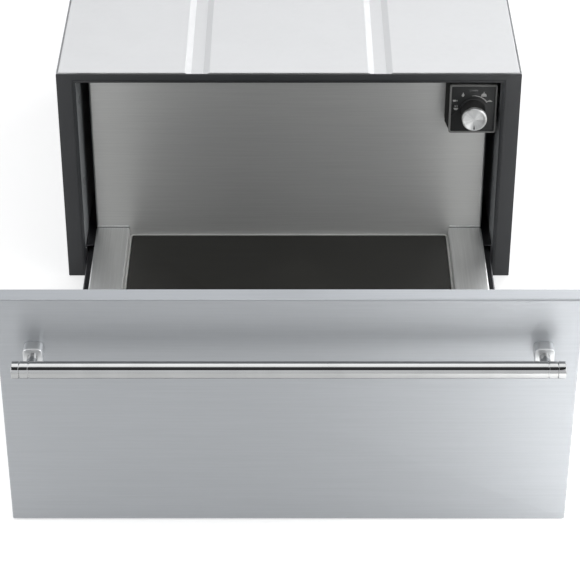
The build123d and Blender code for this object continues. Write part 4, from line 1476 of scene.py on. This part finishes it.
@dataclass
class Control(Assembly):
    """Rim, fascia, lens and printed marks of the control, and the regulator behind."""

    rim_width: float = 2.2
    rim_corner: float = 3.0
    rim_edge: float = 0.5
    face_corner: float = 0.9
    # Inset and depth under the face of an eased edge
    face_edge: Profile = ((0.0, 0.25), (0.08, 0.08), (0.25, 0.0))
    lens_edge: Profile = ((0.0, 0.3), (0.25, 0.1), (0.7, 0.0))
    print_rise: float = 0.05
    print_sink: float = 0.02
    arc_radius: float = 18.4
    arc_width: Pair = (0.25, 1.5)
    arc_sweep: Pair = (96.0, 30.0)
    arc_steps: int = 32
    cheek_edge: float = 192.0
    cheek_shift: float = 1.0
    cheek_lap: float = 0.4
    cheek_bevel: Pair = (0.8, 0.3)
    cheek_ease: float = 0.3

    def build(self) -> None:
        """Build and dress every piece."""
        self.keep(Finishes.BLACK, "control_housing")
        self.keep(Finishes.SHEET, "control_hanger")
        self.keep(Finishes.PHENOLIC, "thermostat")
        self.cheek()
        self.rim()
        self.fascia()
        self.lens()
        self.prints()

    def cheek(self) -> None:
        """Moulded cheek beside the housing, wider towards the back, in a near-black that also paints the
        shadow beside the housing.
        """
        whole, (side, turn) = Extent.of("control_housing"), self.cheek_bevel
        front, back = whole.y0 + self.cheek_shift, whole.y1 + self.cheek_shift
        wall, edge = whole.x0 + self.cheek_lap, self.cheek_edge
        outline = [(wall, front), (wall - side, front + turn)]
        outline += [(edge, back - side), (edge, back), (wall, back)]
        sculpt = Sculpt().slab(Axis.Z, outline, whole.z0, whole.z1, self.cheek_ease)
        self.fit(sculpt.piece("control_cheek"), Finishes.CHEEK_SHADE, "black_plastic")

    def rim(self) -> None:
        """Pale rim with rounded edges."""
        whole, edge = Extent.of("control_bezel"), self.rim_edge
        level, far = whole.y0 + edge, self.rim_width - edge
        section = [(0.0, whole.y1)] + arc((edge, level), edge, 180.0, 270.0, 4)
        section += arc((far, level), edge, -90.0, 0.0, 4) + [(self.rim_width, whole.y1)]
        sculpt = Sculpt().sweep(whole.outline(Axis.Y, self.rim_corner, 8), section, ring=True)
        self.fit(sculpt.piece("control_rim"), Finishes.BEZEL, "grey_bezel", "control_bezel")

    def fascia(self) -> None:
        """Black plate, set a little below the rim."""
        whole = Extent.of("control_fascia")
        section = [(0.0, whole.y1)] + [(i, whole.y0 + d) for i, d in self.face_edge]
        item = Sculpt().sweep(whole.outline(Axis.Y, self.face_corner), section).piece("control_face")
        self.fit(item, Finishes.FASCIA, "black_fascia", "control_fascia")

    def lens(self) -> None:
        """Rounded lens of the mains lamp."""
        whole = Extent.of("indicator_lens")
        section = [(0.0, whole.y1)] + [(i, whole.y0 + d) for i, d in self.lens_edge]
        item = Sculpt().sweep(whole.outline(Axis.Y, whole.half[2], 8), section).piece("lamp_lens_rounded")
        self.fit(item, Finishes.LENS, "lamp_lens", "indicator_lens")

    def heat_arc(self) -> list[Pair]:
        """Return the outline of the heat arc, which grows to the right.

        Returns:
            Its points, from the knob's axis.
        """
        outer: list[Pair] = []
        inner: list[Pair] = []
        (start, end), (thin, thick) = self.arc_sweep, self.arc_width
        for step in range(self.arc_steps + 1):
            share = step / self.arc_steps
            angle = math.radians(start + (end - start) * share)
            width = thin + (thick - thin) * share
            for row, reach in ((outer, self.arc_radius + width), (inner, self.arc_radius)):
                row.append((reach * math.cos(angle), reach * math.sin(angle)))
        return outer + inner[::-1]

    def prints(self) -> None:
        """Heat arc and plain picture marks about the knob."""
        flame = [(0.0, 3.6), (0.7, 2.0), (1.5, 0.4), (1.5, -1.2), (0.8, -2.4)]
        flame += [(-0.8, -2.4), (-1.5, -1.2), (-1.2, 0.4), (-0.4, 1.4)]
        bowl = arc((0.0, 0.6), 3.1, 180.0, 360.0, 14)
        dome = arc((0.0, -1.0), 3.3, 0.0, 180.0, 16)
        plate = [(-3.9, -0.45), (3.9, -0.45), (3.3, 0.45), (-3.3, 0.45)]
        steam = [(-0.35, -1.2), (0.35, -1.2), (0.55, 0.0), (0.2, 1.2), (-0.4, 1.2), (-0.05, 0.0)]
        stem = [(-0.45, -0.9), (0.45, -0.9), (0.45, 0.9), (-0.45, 0.9)]
        cup = [(-2.4, 1.4), (2.4, 1.4), (1.8, -1.4), (-1.8, -1.4)]
        wedge = [(-3.6, -1.1), (3.6, -1.1), (3.4, -0.2), (0.6, 1.5), (-1.8, 0.6), (-3.4, -0.2)]
        # Outline, place of its middle from the knob's axis, and scale
        layout: list[tuple[list[Pair], Pair, float]] = [
            (self.heat_arc(), (0.0, 0.0), 1.0),
            (bowl, (-20.8, 1.2), 0.9),
            (steam, (-22.0, 4.3), 1.2),
            (steam, (-19.6, 4.3), 1.2),
            (cup, (-23.0, 11.8), 0.85),
            (stem, (-19.9, 11.8), 1.0),
            (flame, (-12.9, 19.8), 1.0),
            (dome, (12.4, 19.6), 1.0),
            (plate, (12.4, 17.9), 0.95),
            (stem, (12.4, 23.1), 0.9),
            (wedge, (19.6, 11.4), 0.95),
        ]
        sculpt, face, (x, z) = Sculpt(), Extent.of("control_fascia").y0, knob_axis()
        for outline, place, size in layout:
            points = [(x + place[0] + u * size, z + place[1] + v * size) for u, v in outline]
            sculpt.slab(Axis.Y, points, face - self.print_rise, face + self.print_sink)
        self.fit(sculpt.piece("control_marks"), Finishes.INK, "grey_bezel")


def knob_axis() -> Pair:
    """Return the place of the knob's axis along X and Z."""
    middle = Extent.of("knob_cap").middle
    return middle[0], middle[2]


@dataclass
class Knob(Assembly):
    """Black knob with a spun cap and a pointer."""

    steps: int = 96
    # Radius of the body's steps, and their distance from its back or, at the neck, from its front
    foot: Profile = (
        (9.0, 6.0), (9.0, 0.0), (15.6, 0.0), (16.0, 0.3), (16.0, 1.0),
        (15.85, 1.3), (15.3, 1.5), (14.9, 1.7), (14.65, 2.2), (14.6, 3.0),
    )
    neck: Profile = ((14.6, 0.5), (14.45, 0.15), (14.1, 0.0))
    # Radius of the cap's steps, and their distance from its back or, at the rim, from its face
    cap_back: Profile = ((14.5, 0.0), (15.0, 0.3))
    cap_rim: Profile = ((15.0, 0.65), (14.85, 0.45), (14.5, 0.05), (14.3, 0.0), (12.25, 0.0), (12.0, 0.08))
    dish: float = 0.6
    dish_hole: float = 0.15
    dish_steps: int = 8
    pointer_top: float = 7.2
    pointer_low: float = 13.3
    pointer_radius: float = 0.95
    pointer_tip: Pair = (0.35, 1.6)
    pointer_depth: Pair = (0.02, 0.6)

    def build(self) -> None:
        """Build and dress every piece."""
        self.keep(Finishes.ZINC, "thermostat_spindle")
        self.skirt()
        self.cap()
        self.pointer()

    def skirt(self) -> None:
        """Black body with a wider foot."""
        whole = Extent.of("knob_skirt")
        section = [(r, whole.y1 - d) for r, d in self.foot] + [(r, whole.y0 + d) for r, d in self.neck]
        sculpt = Sculpt().sweep(Round(Axis.Y, knob_axis(), self.steps), section, start=False)
        self.fit(sculpt.piece("knob_body", 30.0), Finishes.KNOB, "black_plastic", "knob_skirt")

    def cap(self) -> None:
        """Spun cap with a bright chamfer, a flat land and a dished middle."""
        whole, (x, z) = Extent.of("knob_cap"), knob_axis()
        section = [(r, whole.y1 - d) for r, d in self.cap_back] + [(r, whole.y0 + d) for r, d in self.cap_rim]
        inner, step_down = self.cap_rim[-1]
        for step in range(1, self.dish_steps + 1):
            rest = 1 - step / self.dish_steps
            depth = step_down + (self.dish - step_down) * (1 - rest**2)
            section.append((inner * rest + self.dish_hole, whole.y0 + depth))
        sculpt = Sculpt().sweep(Round(Axis.Y, (x, z), self.steps), section)
        item = sculpt.piece("knob_cap_spun", 24.0, (x, whole.y0, z))
        self.fit(item, Finishes.CAP, "spun_aluminium", "knob_cap")

    def pointer(self) -> None:
        """Drop-shaped pointer let into the cap."""
        face, (x, z) = Extent.of("knob_cap").y0, knob_axis()
        (half, length), (proud, sunk) = self.pointer_tip, self.pointer_depth
        shoulder = -self.pointer_top - length
        outline = arc((0.0, self.pointer_radius - self.pointer_low), self.pointer_radius, -200.0, 20.0, 14)
        outline += [(half, shoulder), (0.0, -self.pointer_top), (-half, shoulder)]
        points = [(x + u, z + v) for u, v in outline]
        item = Sculpt().slab(Axis.Y, points, face - proud, face + sunk).piece("knob_pointer")
        self.fit(item, Finishes.POINTER, "black_plastic")


# --- Studio ---------------------------------------------------------------------------
@dataclass(frozen=True)
class Lamp:
    """Soft lamp out of the camera's sight: metres, watts and degrees."""

    name: str
    place: Triple
    target: Triple
    size: Pair
    power: float
    spread: float = 180.0

    def hang(self) -> None:
        """Hang the lamp at its place, turned to its target."""
        data = bpy.data.lights.new(self.name, "AREA")
        data.shape = "RECTANGLE"
        data.size, data.size_y = self.size
        data.energy = self.power
        data.spread = math.radians(self.spread)
        item = bpy.data.objects.new(self.name, data)
        item.location = self.place
        item.rotation_euler = (Vector(self.target) - Vector(self.place)).to_track_quat("-Z", "Y").to_euler()
        item.visible_camera = False
        bpy.context.scene.collection.objects.link(item)


@dataclass
class Studio:
    """Floor, lamps, world and camera."""

    floor_half: float = 9.0
    # Gap under the object and depth of the floor, in millimetres
    floor_gap: float = 0.2
    floor_depth: float = 20.0
    floor_colour: Triple = (0.66, 0.66, 0.66)
    lift: Pair = (0.56, 0.74)
    lift_reach: Pair = (1.5, 5.0)
    lift_in_metal: float = 0.58
    # Upward and backward share of a direction where the dark zone begins or ends
    dark_rise: Pair = (0.50, 0.58)
    dark_back: Pair = (0.30, 0.60)
    dark_top: Pair = (0.80, 0.97)
    dark_share: float = 0.75
    dark_colour: Triple = (0.02, 0.02, 0.02)
    shine_colour: Triple = (0.92, 0.93, 0.95)
    world_colour: Triple = (0.98, 0.99, 1.0)
    world_strength: Pair = (0.40, 1.0)
    camera_place: Triple = (0.0014, -2.550, 1.502)
    pitch: float = 33.68
    lens: float = 133.45
    sensor: float = 36.0
    lamps: tuple[Lamp, ...] = (
        Lamp("lamp_above", (0.0, -0.2, 3.0), (0.0, -0.2, 0.0), (3.0, 2.4), 30.0),
        Lamp("lamp_left", (-2.6, -1.6, 1.5), (0.0, -0.4, 0.1), (2.0, 2.0), 14.0),
        Lamp("lamp_right", (2.6, -1.9, 1.4), (0.0, -0.4, 0.1), (4.4, 2.5), 29.0, 120.0),
        Lamp("lamp_low_front", (0.46, -1.34, 0.32), (0.46, -1.34, 0.0), (0.2, 0.5), 1.65, 120.0),
        Lamp("lamp_low_right", (0.46, -0.90, 0.32), (0.46, -0.90, 0.0), (0.2, 0.44), 1.15, 120.0),
        Lamp("lamp_low_left", (-0.54, -1.0, 0.30), (-0.54, -1.0, 0.0), (0.2, 0.5), 0.35),
        Lamp("lamp_back", (1.9, 2.3, 1.3), (0.0, 0.1, 0.1), (1.6, 1.4), 24.0),
    )

    def build(self) -> None:
        """Set up the whole studio."""
        bpy.context.scene.view_settings.view_transform = "Standard"
        self.floor()
        self.world()
        for lamp in self.lamps:
            lamp.hang()
        self.camera()
        LOG.info("studio: floor, world, %d lamps and the camera", len(self.lamps))

    def floor(self) -> None:
        """Pale floor that shows white and keeps the shadow."""
        half = self.floor_half / MM
        base = Extent.of("base_pan").z0 - self.floor_gap
        outline = [(-half, -half), (half, -half), (half, half), (-half, half)]
        item = Sculpt().slab(Axis.Z, outline, base - self.floor_depth, base).piece("studio_floor")
        material = bpy.data.materials.new("Studio_Floor")
        graph = emptied(material)
        away = graph.add("VectorMath", {0: graph.place()}, operation="LENGTH").outputs["Value"]
        lift = graph.spread(away, self.lift_reach, self.lift)
        body = graph.add("BsdfPrincipled", {
            "Base Color": (*self.floor_colour, 1.0), "Roughness": 0.9, "Specular IOR Level": 0.0,
        })
        path = graph.add("LightPath")
        mirrored = graph.math("MAXIMUM", path.outputs["Is Glossy Ray"], path.outputs["Is Transmission Ray"])
        mirrored = graph.math("MULTIPLY", mirrored, self.lift_in_metal)
        seen = graph.math("MAXIMUM", path.outputs["Is Camera Ray"], mirrored)
        glow = graph.add("Emission", {"Strength": graph.math("MULTIPLY", seen, lift)})
        both = graph.add("AddShader", {0: body.outputs[0], 1: glow.outputs[0]})
        graph.add("OutputMaterial", {"Surface": both.outputs[0]})
        item.data.materials.append(material)

    def world(self) -> None:
        """White behind the object, soft light round it, and a dark zone overhead that polish mirrors."""
        world = bpy.data.worlds.new("Studio_World")
        bpy.context.scene.world = world
        graph = emptied(world)
        way = graph.add("SeparateXYZ", {0: graph.add("TexCoord").outputs["Generated"]})
        rise, back = way.outputs[2], way.outputs[1]
        dark = graph.math(
            "MULTIPLY", graph.spread(rise, self.dark_rise), graph.spread(back, self.dark_back, (1.0, 0.0))
        )
        dark = graph.math("MULTIPLY", dark, graph.spread(rise, self.dark_top, (1.0, self.dark_share)))
        shine = graph.mix(dark, self.shine_colour, self.dark_colour)
        path = graph.add("LightPath")
        colour = graph.mix(path.outputs["Is Glossy Ray"], self.world_colour, shine)
        seen = graph.math("MAXIMUM", path.outputs["Is Camera Ray"], path.outputs["Is Glossy Ray"])
        seen = graph.math("MAXIMUM", seen, path.outputs["Is Transmission Ray"])
        strength = graph.spread(seen, (0.0, 1.0), self.world_strength)
        glow = graph.add("Background", {"Color": colour, "Strength": strength})
        graph.add("OutputWorld", {"Surface": glow.outputs[0]})

    def camera(self) -> None:
        """Camera at the photograph's angle."""
        data = bpy.data.cameras.new("camera")
        data.sensor_fit = "HORIZONTAL"
        data.sensor_width = self.sensor
        data.lens = self.lens
        item = bpy.data.objects.new("camera", data)
        item.location = self.camera_place
        item.rotation_euler = (math.radians(90.0 - self.pitch), 0.0, 0.0)
        bpy.context.scene.collection.objects.link(item)
        bpy.context.scene.camera = item


def corners(box: Iterable[Vector]) -> list[list[float]]:
    """Return a box as plain lists of numbers."""
    return [[float(c) for c in corner] for corner in box]


def main() -> None:
    """Build the studio and every sub-assembly."""
    logging.basicConfig(level=logging.INFO, format="%(name)s: %(message)s")
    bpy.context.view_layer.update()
    paint = Paintbox()
    Studio().build()
    assemblies: list[Assembly] = [
        Casing(paint, "cabinet"),
        Slides(paint, "cabinet"),
        WarmingWell(paint, "drawer"),
        FrontPanel(paint, "drawer"),
        Handle(paint, "drawer"),
        Control(paint, "cabinet"),
        Knob(paint, "knob"),
    ]
    for assembly in assemblies:
        assembly.build()
        LOG.info("%s is done", type(assembly).__name__)


if __name__ == "__main__":
    main()
